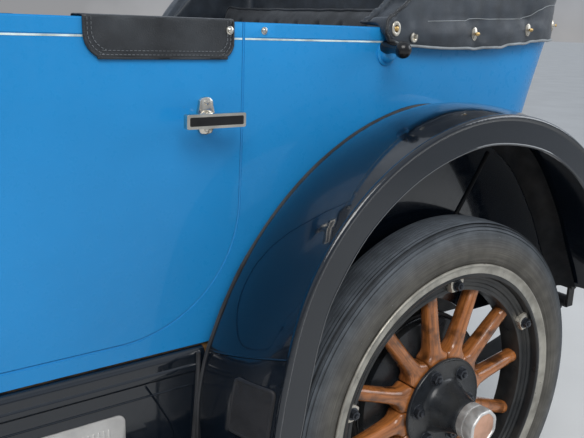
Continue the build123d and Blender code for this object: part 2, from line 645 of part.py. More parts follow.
def door_hinge(x, z):
    """One hinge of a left door on the axis at x: the pillar's knuckle with its pin, and the door's."""
    y = skin_y(x) + HINGE_OUT
    r, h = HINGE_R, HINGE_H

    def leaf(way, z0):
        outline = make_face(Polyline(
            (x + way * 3, y - 4), (x + way * 3, y + 4), (x + way * 8, y + 4), (x + way * 36, y - 10),
            (x + way * 36, y - 30), (x + way * 8, y - 22), close=True,
        ))
        return plan_prism(outline, z0, z0 + h)

    pillar = rod((x, y, z), (x, y, z + h), r) + leaf(1, z) + rod((x, y, z), (x, y, z + 2 * h), PIN_R)
    door = rod((x, y, z + h + 0.5), (x, y, z + 2 * h), r) + leaf(-1, z + h + 0.5)
    door -= rod((x, y, z), (x, y, z + 2 * h + 1), PIN_R + 0.06)
    return pillar, door


def build_body():
    """The tub, and four doors cut from the same walls so that their curves run through."""
    wall = tub_solid() - tub_solid(WALL, COWL_REAR_X + 60, 5.0)
    gap = DOOR_GAP / 2
    y0, y1 = BODY_HALF_WIDTH - 190, BODY_HALF_WIDTH + 80
    doors = (
        ("rear", REAR_DOOR, REAR_DOOR_CORNER_R),
        ("front", FRONT_DOOR, DOOR_CORNER_R),
    )
    tub = wall
    for name, span, rear_r in doors:
        keep = side_prism(door_outline(span, -gap, rear_r, DOOR_CORNER_R), y0, y1)
        cut = side_prism(door_outline(span, gap, rear_r, DOOR_CORNER_R), y0, y1)
        left = (wall & keep) + door_handle(span[0] + HANDLE_INSET)
        tub = tub - cut - mirrored(cut)
        for z in HINGE_Z:
            pillar, own = door_hinge(span[1], z)
            y = skin_y(span[1]) + HINGE_OUT
            clear = HINGE_R + 1.5
            left = left - rod((span[1], y, z - 1), (span[1], y, z + HINGE_H + 0.5), clear) + own
            left = left - rod((span[1], y, z - 1), (span[1], y, z + 2 * HINGE_H + 1), PIN_R + 0.06)
            room = rod((span[1], y, z + HINGE_H), (span[1], y, z + 2 * HINGE_H + 1), clear)
            tub = tub - room - mirrored(room) + pillar + mirrored(pillar)
        export(f"door_{name}_left", left)
        export(f"door_{name}_right", mirrored(left))
    export("body_tub", tub)
    floor = plan_prism(tub_outline(BODY_SILL_Z, 6.0, FIREWALL_X - 260), RAIL_TOP, BODY_SILL_Z)
    export("floor", floor)


def hood_section(x, half, top, inset, centre=0.0, bottom=HOOD_BOTTOM_Z):
    """Half section of hood or cowl at x: flat side, round shoulder and crowned top, as a closed half."""
    shoulder = 110.0
    crown = 34.0
    side = half - inset
    z_top = top - inset
    z_side = z_top - crown - shoulder * 0.75
    y_top = side - shoulder
    p_mid = (side - shoulder * 0.27, z_top - crown - shoulder * 0.16)
    line = Line((centre, bottom), (side, bottom)) + Line((side, bottom), (side, z_side))
    line += ThreePointArc((side, z_side), p_mid, (y_top, z_top - crown + 4))
    line += ThreePointArc((y_top, z_top - crown + 4), ((y_top + centre) / 2, z_top - 8), (centre, z_top))
    line += Line((centre, z_top), (centre, bottom))
    return Plane(origin=(x, 0, 0), x_dir=(0, 1, 0), z_dir=(1, 0, 0)) * make_face(line)


def hood_rod(radius, beyond):
    """The rod on which both hood halves turn, from the cowl to the radiator."""
    back = Vector(FIREWALL_X, 0, HOOD_REAR_TOP_Z - SHEET / 2)
    front = Vector(HOOD_FRONT_X, 0, HOOD_FRONT_TOP_Z - SHEET / 2)
    step = (front - back).normalized() * beyond
    return rod(tuple(back - step), tuple(front + step), radius)


def build_hood():
    """Two hood halves hinged on the centre line."""
    gap = 1.5
    outer = loft([
        hood_section(FIREWALL_X + 5, HOOD_REAR_HALF, HOOD_REAR_TOP_Z, 0, gap),
        hood_section(HOOD_FRONT_X - 5, HOOD_FRONT_HALF, HOOD_FRONT_TOP_Z, 0, gap),
    ], ruled=True)
    inner = loft([
        hood_section(FIREWALL_X - 5, HOOD_REAR_HALF, HOOD_REAR_TOP_Z, SHEET, -5, HOOD_BOTTOM_Z - 5),
        hood_section(HOOD_FRONT_X + 5, HOOD_FRONT_HALF, HOOD_FRONT_TOP_Z, SHEET, -5, HOOD_BOTTOM_Z - 5),
    ], ruled=True)
    left = outer - inner - hood_rod(HOOD_ROD_R + SEAT_GAP, 20)
    export("hood_left", left)
    export("hood_right", mirrored(left))


def build_cowl():
    """Scuttle from the hood to the front doors, with bulkhead and instrument board."""
    rear = (COWL_REAR_X + SEAT_GAP, COWL_REAR_HALF, COWL_TOP_Z)
    front = (FIREWALL_X, HOOD_REAR_HALF, HOOD_REAR_TOP_Z)
    bottom = BODY_SILL_Z
    outer = loft([hood_section(*rear, 0, 0, bottom), hood_section(*front, 0, 0, bottom)], ruled=True)
    inner = loft([
        hood_section(rear[0] - 2, rear[1], rear[2], 30, -5, bottom - 5),
        hood_section(front[0] - 14, front[1] + 6, front[2], 30, -5, bottom - 5),
    ], ruled=True)
    half = outer - inner
    board = hood_section(COWL_REAR_X + 20, COWL_REAR_HALF, COWL_TOP_Z, 28, 0, 1010)
    half += extrude(board, 14)
    cowl = half + mirrored(half)
    cowl -= rod(STEERING_WHEEL_AT, STEERING_BOX_AT, 26)
    cowl += hood_rod(HOOD_ROD_R, 0) & box(FIREWALL_X - 5, HOOD_FRONT_X - SEAT_GAP, -20, 20, 900, 1300)
    export("cowl", cowl)


def build_radiator():
    """Shell with a rounded top, core, and filler neck with the flange that takes its cap."""
    x0, x1 = HOOD_FRONT_X, HOOD_FRONT_X + 104

    def outline(inset, low):
        return hood_section(0, HOOD_FRONT_HALF + 6, HOOD_FRONT_TOP_Z + 6, inset, 0, low)

    left = Pos(x0, 0, 0) * extrude(outline(0, RADIATOR_BOTTOM_Z), x1 - x0)
    shell = left + mirrored(left)
    window = Pos(x0 - 1, 0, 0) * extrude(outline(48, 610), x1 - x0 + 2)
    shell -= window + mirrored(window)
    neck_x = x0 + 52
    shell += rod((neck_x, 0, HOOD_FRONT_TOP_Z - 4), (neck_x, 0, FILLER_TOP_Z - 1), FILLER_NECK_R - 6)
    shell += rod((neck_x, 0, FILLER_TOP_Z - FILLER_FLANGE_H), (neck_x, 0, FILLER_TOP_Z), FILLER_NECK_R)
    export("radiator_shell", shell)
    core = Pos(x0 + 22, 0, 0) * extrude(outline(48 + SEAT_GAP, 610 + SEAT_GAP), 62)
    export("radiator_core", core + mirrored(core))


def build_windscreen():
    """Two-pane windscreen on side posts."""
    x, half = COWL_REAR_X + 80, COWL_REAR_HALF - 41
    low, split, top = COWL_TOP_Z + 10, 1500.0, 1765.0
    bar = 16.0
    frame = None
    glass = []
    for z0, z1 in ((low, split - 6), (split + 6, top)):
        pane = box(x - 7, x + 7, -half, half, z0, z1)
        hole = box(x - 8, x + 8, -half + bar, half - bar, z0 + bar, z1 - bar)
        pane -= hole
        frame = pane if frame is None else frame + pane
        edge = bar + SEAT_GAP
        glass.append(box(x - 2.5, x + 2.5, -half + edge, half - edge, z0 + edge, z1 - edge))
    post_y = half + 11.8
    post = box(x - 12, x + 12, post_y, post_y + 18, 1050, top)
    for z in (low + 40, top - 60):
        post += rod((x, half - 4, z), (x, post_y + 1.2, z), 9)
    frame += post + mirrored(post)
    export("windscreen_frame", frame)
    export("windscreen_glass", *glass)


# Fenders
def fender_section(path, inner_y):
    """Front fender: crown to the outer bead, with a skirt below it, across the start of the path."""
    width = FENDER_OUTER_Y - inner_y
    t = FENDER_T
    line = ThreePointArc((0, 0), (width / 2, FENDER_CROWN), (width, 0))
    line += Polyline((width, 0), (width, -FENDER_SKIRT), (width - t, -FENDER_SKIRT), (width - t, -t))
    line += ThreePointArc((width - t, -t), (width / 2, FENDER_CROWN - t), (0, -t)) + Line((0, -t), (0, 0))
    face = make_face(line) + Pos(width - 2, 0) * Circle(FENDER_BEAD_R)
    face += Pos(width - 2, -FENDER_SKIRT) * Circle(FENDER_BEAD_R - 2)
    start = path @ 0
    tangent = path % 0
    plane = Plane(origin=(start.X, inner_y, start.Z), x_dir=(0, 1, 0), z_dir=-tangent)
    return plane * face


def fender(path_xz, inner_y):
    """Sweep the fender's section along a side-view line."""
    path = Plane.XZ * path_xz
    wire = Wire(path.edges())
    return sweep(fender_section(wire, inner_y), path=wire)


def rear_section(angle, inner_r, outer_r):
    """Radial section of the rear fender: crown from the body, rolled outer bead, skirt."""
    a = radians(angle)
    width = FENDER_OUTER_Y - BODY_HALF_WIDTH - SEAT_GAP
    t = FENDER_T
    middle = (inner_r + outer_r) / 2 + FENDER_CROWN
    bead_in = (width - 1.6 * FENDER_BEAD_R, outer_r - 1)
    bead_out = (width, outer_r - 1.6 * FENDER_BEAD_R)
    low = outer_r - FENDER_SKIRT
    line = ThreePointArc((0, inner_r), (width / 2, middle), bead_in)
    line += ThreePointArc(bead_in, (width, outer_r + 1), bead_out)
    line += Polyline(bead_out, (width, low), (width - t, low), (width - t, outer_r - 2 * FENDER_BEAD_R))
    line += ThreePointArc((width - t, outer_r - 2 * FENDER_BEAD_R), (width / 2, middle - t), (0, inner_r - t))
    line += Line((0, inner_r - t), (0, inner_r))
    cx, cz = REAR_ARCH_CENTRE
    plane = Plane(origin=(cx, BODY_HALF_WIDTH + SEAT_GAP, cz), x_dir=(0, 1, 0), z_dir=(sin(a), 0, -cos(a)))
    return plane * make_face(line)


def rear_fender():
    """Left rear fender with the inner panel that closes the wheel well beside the body."""
    shell = loft([rear_section(*station) for station in REAR_FENDER_STATIONS])
    cx, cz = REAR_ARCH_CENTRE
    edge = []
    for angle, inner_r, outer_r in REAR_FENDER_STATIONS:
        a = radians(angle)
        r = inner_r - FENDER_T / 2
        edge.append((cx + r * cos(a), cz + r * sin(a)))
    k = DRUM_CUTOUT_R * cos(radians(45))
    line = Spline(*edge)
    line += Polyline(edge[-1], (-2 * k, TYRE_R + k), (-k, TYRE_R + k))
    line += ThreePointArc((-k, TYRE_R + k), (0, TYRE_R + DRUM_CUTOUT_R), (k, TYRE_R + k))
    line += Polyline((k, TYRE_R + k), (2 * k, TYRE_R + k / 2), edge[0])
    inner = BODY_HALF_WIDTH + SEAT_GAP
    whole = shell + side_prism(make_face(line), inner, inner + FENDER_T)
    foot = BOARD_TOP_Z + SEAT_GAP
    return whole - box(cx + 300, cx + 700, inner - 10, FENDER_OUTER_Y + 20, foot - 60, foot)


def build_fenders():
    """Rear and front fenders, left and right."""
    left = rear_fender()
    export("fenders_rear", left, mirrored(left))
    arch = CenterArc((WHEELBASE, FRONT_ARCH_Z), FRONT_ARCH_R, 8, 132)
    top = arch @ 1
    knee = top + (arch % 1) * 470
    toe = FilletPolyline(
        (top.X, top.Y), (knee.X, knee.Y), (BOARD_FRONT_X, BOARD_TOP_Z + 3), radius=260,
    )
    front = fender(arch + toe, BODY_HALF_WIDTH - 30)
    export("fenders_front", front, mirrored(front))


def build_boards():
    """Running boards with their raised mats, and splash aprons."""
    x0 = BOARD_REAR_X
    inner, outer = APRON_Y + SEAT_GAP, FENDER_OUTER_Y + 4
    board = box(x0, BOARD_FRONT_X, inner, outer, BOARD_TOP_Z - BOARD_T, BOARD_TOP_Z)
    mat_ends = (x0 + MAT_INSET, BOARD_FRONT_X - MAT_INSET)
    board += box(*mat_ends, inner + 10, outer - 22, BOARD_TOP_Z, BOARD_TOP_Z + MAT_T)
    export("running_boards", board, mirrored(board))
    top = BODY_SILL_Z - 4
    r = 14.0
    k = r * (1 - cos(radians(45)))
    line = Polyline((APRON_Y, BOARD_TOP_Z - BOARD_T), (APRON_Y, top - r))
    line += ThreePointArc((APRON_Y, top - r), (APRON_Y - k, top - k), (APRON_Y - r, top))
    line += Polyline(
        (APRON_Y - r, top), (APRON_Y - r - 1, top - APRON_T), (APRON_Y - APRON_T, top - r),
        (APRON_Y - APRON_T, BOARD_TOP_Z - BOARD_T), (APRON_Y, BOARD_TOP_Z - BOARD_T),
    )
    face = Plane(origin=(x0, 0, 0), x_dir=(0, 1, 0), z_dir=(1, 0, 0)) * make_face(line)
    apron = extrude(face, BOARD_FRONT_X - x0)
    export("splash_aprons", apron, mirrored(apron))


# Seats, hood boot, lamps, spare
def cushion(x0, x1, y0, y1, z0, z1, r=30):
    """A plain soft block with rounded edges."""
    return fillet(box(x0, x1, y0, y1, z0, z1).edges(), r)


def build_seats():
    """Front and rear bench seats.
    Columns: name, x of the cushion's rear edge, half width, backrest's middle height and half length."""
    inside = BODY_HALF_WIDTH - WALL
    benches = (
        ("front", COWL_REAR_X - 740, inside - 45, 1030.0, 160.0),
        ("rear", -120.0, inside - 34, 1086.0, 190.0),
    )
    for name, x, half, mid, reach in benches:
        pan = cushion(x, x + 470, -half, half, 800, 950)
        back = Pos(x - 95, 0, mid) * Rot(0, -14, 0) * cushion(-65, 65, -half, half, -reach, reach)
        base = box(x + 10, x + 440, -half + 24, half - 24, BODY_SILL_Z + SEAT_GAP, 800 - SEAT_GAP)
        export(f"seat_{name}", pan, back)
        export(f"seat_base_{name}", base)


def build_boot():
    """The folded hood under its boot, wrapped round the back of the body."""
    lobe = [
        (90, 1290), (140, 1248), (BOOT_FRONT_X, 1208), (160, 1182), (120, 1172), (0, 1165),
        (-154, 1171), (-254, 1182), (-420, 1190), (-600, 1194),
    ]
    line = Spline(*lobe) + Polyline(lobe[-1], (-600, 1400), (-500, 1450), (-300, 1475), (-60, 1410), lobe[0])
    side, back, corner = BODY_HALF_WIDTH + BOOT_OUT, BODY_REAR_X[BODY_TOP] - 4, BODY_CORNER_R + 30
    plan = Pos((back + 400) / 2, 0) * RectangleRounded(400 - back, 2 * side, corner)
    shape = plan_prism(plan, 1150, 1500) & side_prism(make_face(line), -side - 1, side + 1)
    cavity = plan_prism(tub_outline(BODY_TOP, 66, 1000), 1100, 1600)
    cavity &= box(-330, 600, -side, side, 1100, 1600)
    body = plan_prism(tub_outline(BODY_TOP, -1.0, 1000), 1100, BODY_TOP + SEAT_GAP)
    short = Polyline((-4, 1150), (-4, 1212), (-150, 1365), (-150, 1500), (300, 1500), (300, 1150), close=True)
    shape = shape - cavity - body - side_prism(make_face(short), -side - 1, -300)
    export("top_boot", shape)


def build_lamps():
    """Headlamps on posts from the frame's sides, and one tail lamp on the left rail's end."""
    x, z = WHEELBASE + 64, 985.0
    bowl_line = [
        (-92, 0), (-88, 46), (-62, 84), (-20, 108), (44, 116), (56, 122), (64, 122), (64, 108),
        (30, 104), (-30, 92), (-60, 60), (-70, 0),
    ]
    profile = make_face(Polyline(*bowl_line, close=True))
    near = RAIL_FRONT_Y + SEAT_GAP
    y = RAIL_FRONT_Y + 20
    face = Plane(origin=(x, y, z), x_dir=(1, 0, 0), z_dir=(0, 1, 0)) * profile
    bowl = revolve(face, Axis((x, y, z), (1, 0, 0)))
    lamp = bowl + rod((x - 20, y, z - 100), (x - 20, near + 15.7, 600), 13)
    lamp += box(x - 50, x + 10, near, near + 29.7, 540, 606)
    lens = rod((x + 56, y, z), (x + 62, y, z), 106.3)
    export("headlamps", lamp, mirrored(lamp))
    export("headlamp_lenses", lens, mirrored(lens))
    x, y, z = -REAR_OVERHANG + 60, RAIL_REAR_Y - 25, RAIL_TOP + 78
    drum = rod((x - 32, y, z), (x + 30, y, z), 38) - rod((x - 33, y, z), (x - 26, y, z), 32)
    tail = drum + box(x - 12, x + 12, y - 4, y + 4, RAIL_TOP + SEAT_GAP, z - 30)
    tail += box(x - 20, x + 20, y - 18, y + 18, RAIL_TOP + SEAT_GAP, RAIL_TOP + 6)
    export("tail_lamp", tail)


def build_spare():
    """Spare tyre on its demountable rim, on a carrier behind the body."""
    x, z = BODY_REAR_X[BODY_TOP] - 90, 840.0
    stand_x = x + 88
    member_x = -430.0
    turn = Pos(x, 0, z) * Rot(0, 0, 90)
    export("spare_tyre", turn * tyre())
    export("spare_rim", turn * rim())
    band = Polyline((-12, 270), (12, 270), (12, FELLOE_OUTER_R), (-12, FELLOE_OUTER_R), close=True)
    ring = turned(make_face(band))
    carrier = turn * ring
    reach = sqrt(282 ** 2 - 180 ** 2)
    for y in (180, -180):
        carrier += rod((stand_x, y, 568), (stand_x, y, z + reach), 12)
        carrier += rod((stand_x, y, 582), (member_x - SEAT_GAP, y, 582), 12)
        for stub_z in (z - reach, z + reach):
            carrier += rod((stand_x, y, stub_z), (x, y, stub_z), 12)
    export("spare_carrier", carrier)


def main():
    os.makedirs("parts", exist_ok=True)
    build_wheels()
    build_frame()
    build_springs()
    build_rear_axle()
    build_front_axle()
    build_steering()
    build_column()
    build_engine()
    build_body()
    build_hood()
    build_cowl()
    build_radiator()
    build_windscreen()
    build_fenders()
    build_boards()
    build_seats()
    build_boot()
    build_lamps()
    build_spare()


main()
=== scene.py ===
import json
import math

import bmesh
import bpy
from mathutils import Matrix, Vector, noise
from mathutils.bvhtree import BVHTree


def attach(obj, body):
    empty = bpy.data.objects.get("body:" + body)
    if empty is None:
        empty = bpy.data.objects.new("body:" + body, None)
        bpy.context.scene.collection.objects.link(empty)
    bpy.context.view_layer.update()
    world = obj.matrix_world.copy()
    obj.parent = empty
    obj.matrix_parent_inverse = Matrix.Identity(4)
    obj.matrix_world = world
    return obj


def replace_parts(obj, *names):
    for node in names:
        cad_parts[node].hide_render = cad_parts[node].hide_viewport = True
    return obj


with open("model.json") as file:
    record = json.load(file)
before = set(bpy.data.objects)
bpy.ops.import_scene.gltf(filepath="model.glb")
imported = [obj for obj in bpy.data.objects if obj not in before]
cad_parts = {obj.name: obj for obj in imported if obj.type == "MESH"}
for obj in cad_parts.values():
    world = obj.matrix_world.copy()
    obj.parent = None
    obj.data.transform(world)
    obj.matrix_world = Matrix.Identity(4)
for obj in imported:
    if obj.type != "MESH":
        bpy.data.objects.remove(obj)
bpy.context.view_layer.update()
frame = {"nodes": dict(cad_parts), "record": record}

NODES = frame["nodes"]

# Places in metres. x is measured from the rear axle, as in the part's source, and REAR_X moves it.
REAR_X = -1.3665
WHEELBASE = 2.946
WHEEL_Y = 0.711
WHEEL_R = 0.415
SIDES = {"left": 1, "right": -1}
# Rays onto a side start here, clear of the car's sides
OUTSIDE_Y = 0.95


def at(x, y, z):
    """A point given from the rear axle, in the row's frame."""
    return Vector((x + REAR_X, y, z))


# Materials: one Principled shader each, fed by procedural nodes in object coordinates
SOCKETS = {
    "color": "Base Color", "rough": "Roughness", "metal": "Metallic", "coat": "Coat Weight",
    "coat_rough": "Coat Roughness", "specular": "Specular IOR Level", "ior": "IOR",
    "clear": "Transmission Weight", "sheen": "Sheen Weight", "sheen_rough": "Sheen Roughness",
    "alpha": "Alpha",
}


class Finish:
    """One material and the nodes that feed it."""

    def __init__(self, name, **sockets):
        self.material = bpy.data.materials.new(name)
        self.material.use_nodes = True
        self.tree = self.material.node_tree
        self.shader = self.tree.nodes["Principled BSDF"]
        self.normal = None
        for key, value in sockets.items():
            self.shader.inputs[SOCKETS[key]].default_value = (*value, 1) if key == "color" else value

    def node(self, kind, inputs=None, **settings):
        n = self.tree.nodes.new(kind)
        for key, value in settings.items():
            setattr(n, key, value)
        for key, value in (inputs or {}).items():
            if isinstance(value, bpy.types.NodeSocket):
                self.tree.links.new(value, n.inputs[key])
            else:
                n.inputs[key].default_value = value
        return n

    def where(self, stretch, uv):
        place = self.node("ShaderNodeTexCoord").outputs["UV" if uv else "Object"]
        return self.node("ShaderNodeMapping", {"Vector": place, "Scale": stretch}).outputs[0]

    def noise(self, scale, detail=3.0, stretch=(1, 1, 1), uv=False, warp=0.0):
        values = {"Vector": self.where(stretch, uv), "Scale": scale, "Detail": detail, "Distortion": warp}
        return self.node("ShaderNodeTexNoise", values).outputs["Fac"]

    def cells(self, scale):
        values = {"Vector": self.where((1, 1, 1), False), "Scale": scale}
        return self.node("ShaderNodeTexVoronoi", values).outputs["Distance"]

    def ramp(self, value, *stops):
        n = self.node("ShaderNodeValToRGB", {"Fac": value})
        elements = n.color_ramp.elements
        while len(elements) < len(stops):
            elements.new(0.5)
        for element, (place, color) in zip(elements, stops):
            element.position = place
            element.color = (*color, 1) if isinstance(color, tuple) else (color, color, color, 1)
        return n.outputs["Color"]

    def math(self, operation, a, b=0.0):
        return self.node("ShaderNodeMath", {0: a, 1: b}, operation=operation).outputs[0]

    def mix(self, amount, a, b):
        n = self.node("ShaderNodeMix", data_type="RGBA")
        for index, value in ((0, amount), (6, a), (7, b)):
            if isinstance(value, bpy.types.NodeSocket):
                self.tree.links.new(value, n.inputs[index])
            else:
                n.inputs[index].default_value = (*value, 1) if isinstance(value, tuple) else value
        return n.outputs[2]

    def axis(self, name):
        place = self.node("ShaderNodeTexCoord").outputs["Object"]
        return self.node("ShaderNodeSeparateXYZ", {0: place}).outputs[name]

    def bump(self, height, strength, distance=0.001):
        values = {"Height": height, "Strength": strength, "Distance": distance}
        if self.normal:
            values["Normal"] = self.normal
        self.normal = self.node("ShaderNodeBump", values).outputs[0]

    def done(self, color=None, rough=None):
        for key, value in (("Base Color", color), ("Roughness", rough), ("Normal", self.normal)):
            if value is not None:
                self.tree.links.new(value, self.shader.inputs[key])
        return self.material


def shades(color, *factors):
    """The same colour, lighter or darker."""
    return [tuple(min(1.0, c * f) for c in color) for f in factors]


def enamel(name, color, rough, dust=0.25, peel=0.05, coat=0.3, specular=0.3):
    """Brush painted and polished enamel: slow tone changes, fine scratches, dust low on the car."""
    f = Finish(name, coat=coat, coat_rough=0.05, specular=specular)
    dark, light = shades(color, 0.9, 1.1)
    tone = f.ramp(f.noise(2.2, 4), (0.3, dark), (0.7, light))
    low = f.ramp(f.axis("Z"), (0.35, 1.0), (0.95, 0.0))
    dirt = f.math("MULTIPLY", f.ramp(f.noise(9, 6, (1, 1, 0.5)), (0.45, 0.0), (0.8, 1.0)), low)
    dirt = f.math("MULTIPLY", dirt, dust)
    tone = f.mix(dirt, tone, tuple(c * 0.5 + 0.09 for c in color))
    f.bump(f.noise(260, 2), peel, 0.0004)
    f.bump(f.noise(5.0, 2), 0.12, 0.002)
    speck = f.ramp(f.noise(70, 5), (0.35, rough * 0.8), (0.75, min(1.0, rough * 1.7 + 0.05)))
    return f.done(tone, speck)


def steel(name, color, rough, metal=1.0, grain=(1, 1, 1), wear=0.35):
    """Plated, cast or bare metal with stains and fine scratches."""
    f = Finish(name, metal=metal)
    dark, light = shades(color, 1 - wear, 1.08)
    tone = f.ramp(f.noise(24, 6, grain), (0.3, dark), (0.62, light))
    f.bump(f.noise(420, 2, grain), 0.12, 0.0003)
    speck = f.ramp(f.noise(60, 5, grain), (0.3, rough * 0.7), (0.75, min(1.0, rough * 1.8)))
    return f.done(tone, speck)


def satin(name, color, rough, dirt=(0.09, 0.08, 0.065), amount=0.5):
    """Chassis paint under road dirt, and other dull painted pieces."""
    f = Finish(name, specular=0.4)
    mask = f.math("MULTIPLY", f.ramp(f.noise(13, 7), (0.42, 0.0), (0.75, 1.0)), amount)
    tone = f.mix(mask, f.ramp(f.noise(40, 4), (0.3, shades(color, 0.7)[0]),
                              (0.7, shades(color, 1.3)[0])), dirt)
    f.bump(f.noise(180, 4), 0.25, 0.0006)
    return f.done(tone, f.ramp(f.noise(22, 4), (0.3, rough * 0.75), (0.7, min(1.0, rough * 1.3))))


def rubber(name):
    """Tyre: bluish worn tread with painted shade in its grooves and over its shoulders, brown bloom on the
    sidewall, streaks round the wheel, fine cracks.
    """
    f = Finish(name, specular=0.3)
    place = f.node("ShaderNodeTexCoord").outputs["UV"]
    up = f.node("ShaderNodeSeparateXYZ", {0: place}).outputs["Y"]
    # Colour by radius from the bead to the crown; the near-black stop at 0.965 is painted shade at the bottoms
    # of the tread grooves, and the shoulders darken towards it
    side = f.ramp(up, (0.20, (0.072, 0.066, 0.056)), (0.45, (0.092, 0.086, 0.074)),
                  (0.62, (0.088, 0.086, 0.082)),
                  (0.80, (0.082, 0.090, 0.098)), (0.90, (0.088, 0.100, 0.114)),
                  (0.965, (0.012, 0.014, 0.017)),
                  (0.982, (0.13, 0.148, 0.17)))
    streak = f.ramp(f.noise(1.0, 6, (14, 60, 1), True), (0.3, 0.72), (0.7, 1.3))
    patch = f.ramp(f.noise(26, 8), (0.35, 0.8), (0.7, 1.25))
    worn = f.ramp(f.noise(150, 5), (0.66, 0.0), (0.78, 0.6))
    tone = f.node("ShaderNodeVectorMath", {0: side, 1: patch}, operation="MULTIPLY").outputs[0]
    tone = f.node("ShaderNodeVectorMath", {0: tone, 1: streak}, operation="MULTIPLY").outputs[0]
    tone = f.mix(worn, tone, (0.2, 0.21, 0.22))
    f.bump(f.noise(130, 7), 0.35, 0.0008)
    return f.done(tone, f.ramp(f.noise(30, 4), (0.3, 0.6), (0.7, 0.8)))


def wood(name, color, scale=1.0, coat=0.7, uv=True):
    """Varnished timber, its grain along the UVs' V, or along X without UVs."""
    f = Finish(name, coat=coat, coat_rough=0.12, specular=0.4)
    stretch = (1, 0.07, 1) if uv else (0.06, 1, 1)
    grain = f.noise(260 * scale, 8, stretch, uv, 0.6)
    broad = f.noise(60 * scale, 4, stretch, uv)
    deep, dark, mid, light = shades(color, 0.12, 0.45, 1.0, 1.55)
    tone = f.mix(0.5, f.ramp(grain, (0.36, dark), (0.5, mid), (0.64, light)),
                 f.ramp(broad, (0.36, dark), (0.62, light)))
    age = f.ramp(f.noise(26, 8), (0.5, 0.0), (0.66, 0.85))
    tone = f.mix(age, tone, deep)
    f.bump(grain, 0.3, 0.0006)
    return f.done(tone, f.ramp(f.noise(35, 4), (0.35, 0.26), (0.7, 0.5)))


def hide(name, color, rough, grain=420, depth=0.5, dust=0.18):
    """Pebbled leather or coated cloth, scuffed pale in scattered patches."""
    f = Finish(name, specular=0.45, sheen=0.08)
    cells = f.cells(grain)
    scuff = f.ramp(f.noise(8, 8), (0.48, 0.0), (0.8, dust))
    tone = f.ramp(f.noise(30, 5), (0.3, shades(color, 0.7)[0]), (0.7, shades(color, 1.35)[0]))
    tone = f.mix(scuff, tone, (0.16, 0.18, 0.2))
    f.bump(cells, depth, 0.0006)
    f.bump(f.noise(40, 5), 0.25, 0.0016)
    return f.done(tone, f.ramp(f.noise(45, 5), (0.3, rough * 0.8), (0.7, min(1.0, rough * 1.25))))


def glass(name, tint):
    """Clear or tinted glass, slightly uneven."""
    f = Finish(name, color=tint, rough=0.02, clear=1.0, ior=1.45, alpha=0.35)
    f.bump(f.noise(6, 2), 0.04, 0.002)
    return f.done(f.ramp(f.noise(3, 3), (0.3, shades(tint, 0.96)[0]), (0.7, tint)))


MATS = {
    "body_blue": enamel("body_blue", (0.015, 0.245, 0.575), 0.3, 0.1, 0.04, 0.25, 0.25),
    "fender_black": enamel("fender_black", (0.0035, 0.0065, 0.0115), 0.13, 0.03, 0.03, 0.9, 0.3),
    "chassis_black": satin("chassis_black", (0.011, 0.011, 0.012), 0.5),
    "engine_iron": satin("engine_iron", (0.06, 0.062, 0.06), 0.62, (0.05, 0.035, 0.02)),
    "exhaust_steel": satin("exhaust_steel", (0.09, 0.075, 0.06), 0.7, (0.14, 0.06, 0.025), 0.9),
    "floor_wood": wood("floor_wood", (0.22, 0.12, 0.05), 0.4, 0.1, False),
    "radiator_nickel": steel("radiator_nickel", (0.72, 0.69, 0.62), 0.12, 1.0, (1, 1, 1), 0.12),
    "core_black": satin("core_black", (0.012, 0.012, 0.012), 0.6),
    "glass_clear": glass("glass_clear", (0.82, 0.9, 0.88)),
    "leather_black": hide("leather_black", (0.014, 0.0155, 0.018), 0.42),
    "boot_cloth": hide("boot_cloth", (0.022, 0.029, 0.039), 0.44, 900, 0.3, 0.3),
    "tyre_rubber": rubber("tyre_rubber"),
    "spoke_wood": wood("spoke_wood", (0.32, 0.11, 0.028)),
    "rim_silver": steel("rim_silver", (0.4, 0.38, 0.33), 0.38, 0.45, (1, 1, 1), 0.45),
    "wheel_rim_black": satin("wheel_rim_black", (0.012, 0.011, 0.01), 0.25, (0.03, 0.02, 0.015), 0.3),
}
SLOT_OF = {s["node"]: s["material_slot"] for s in frame["record"]["subparts"]}
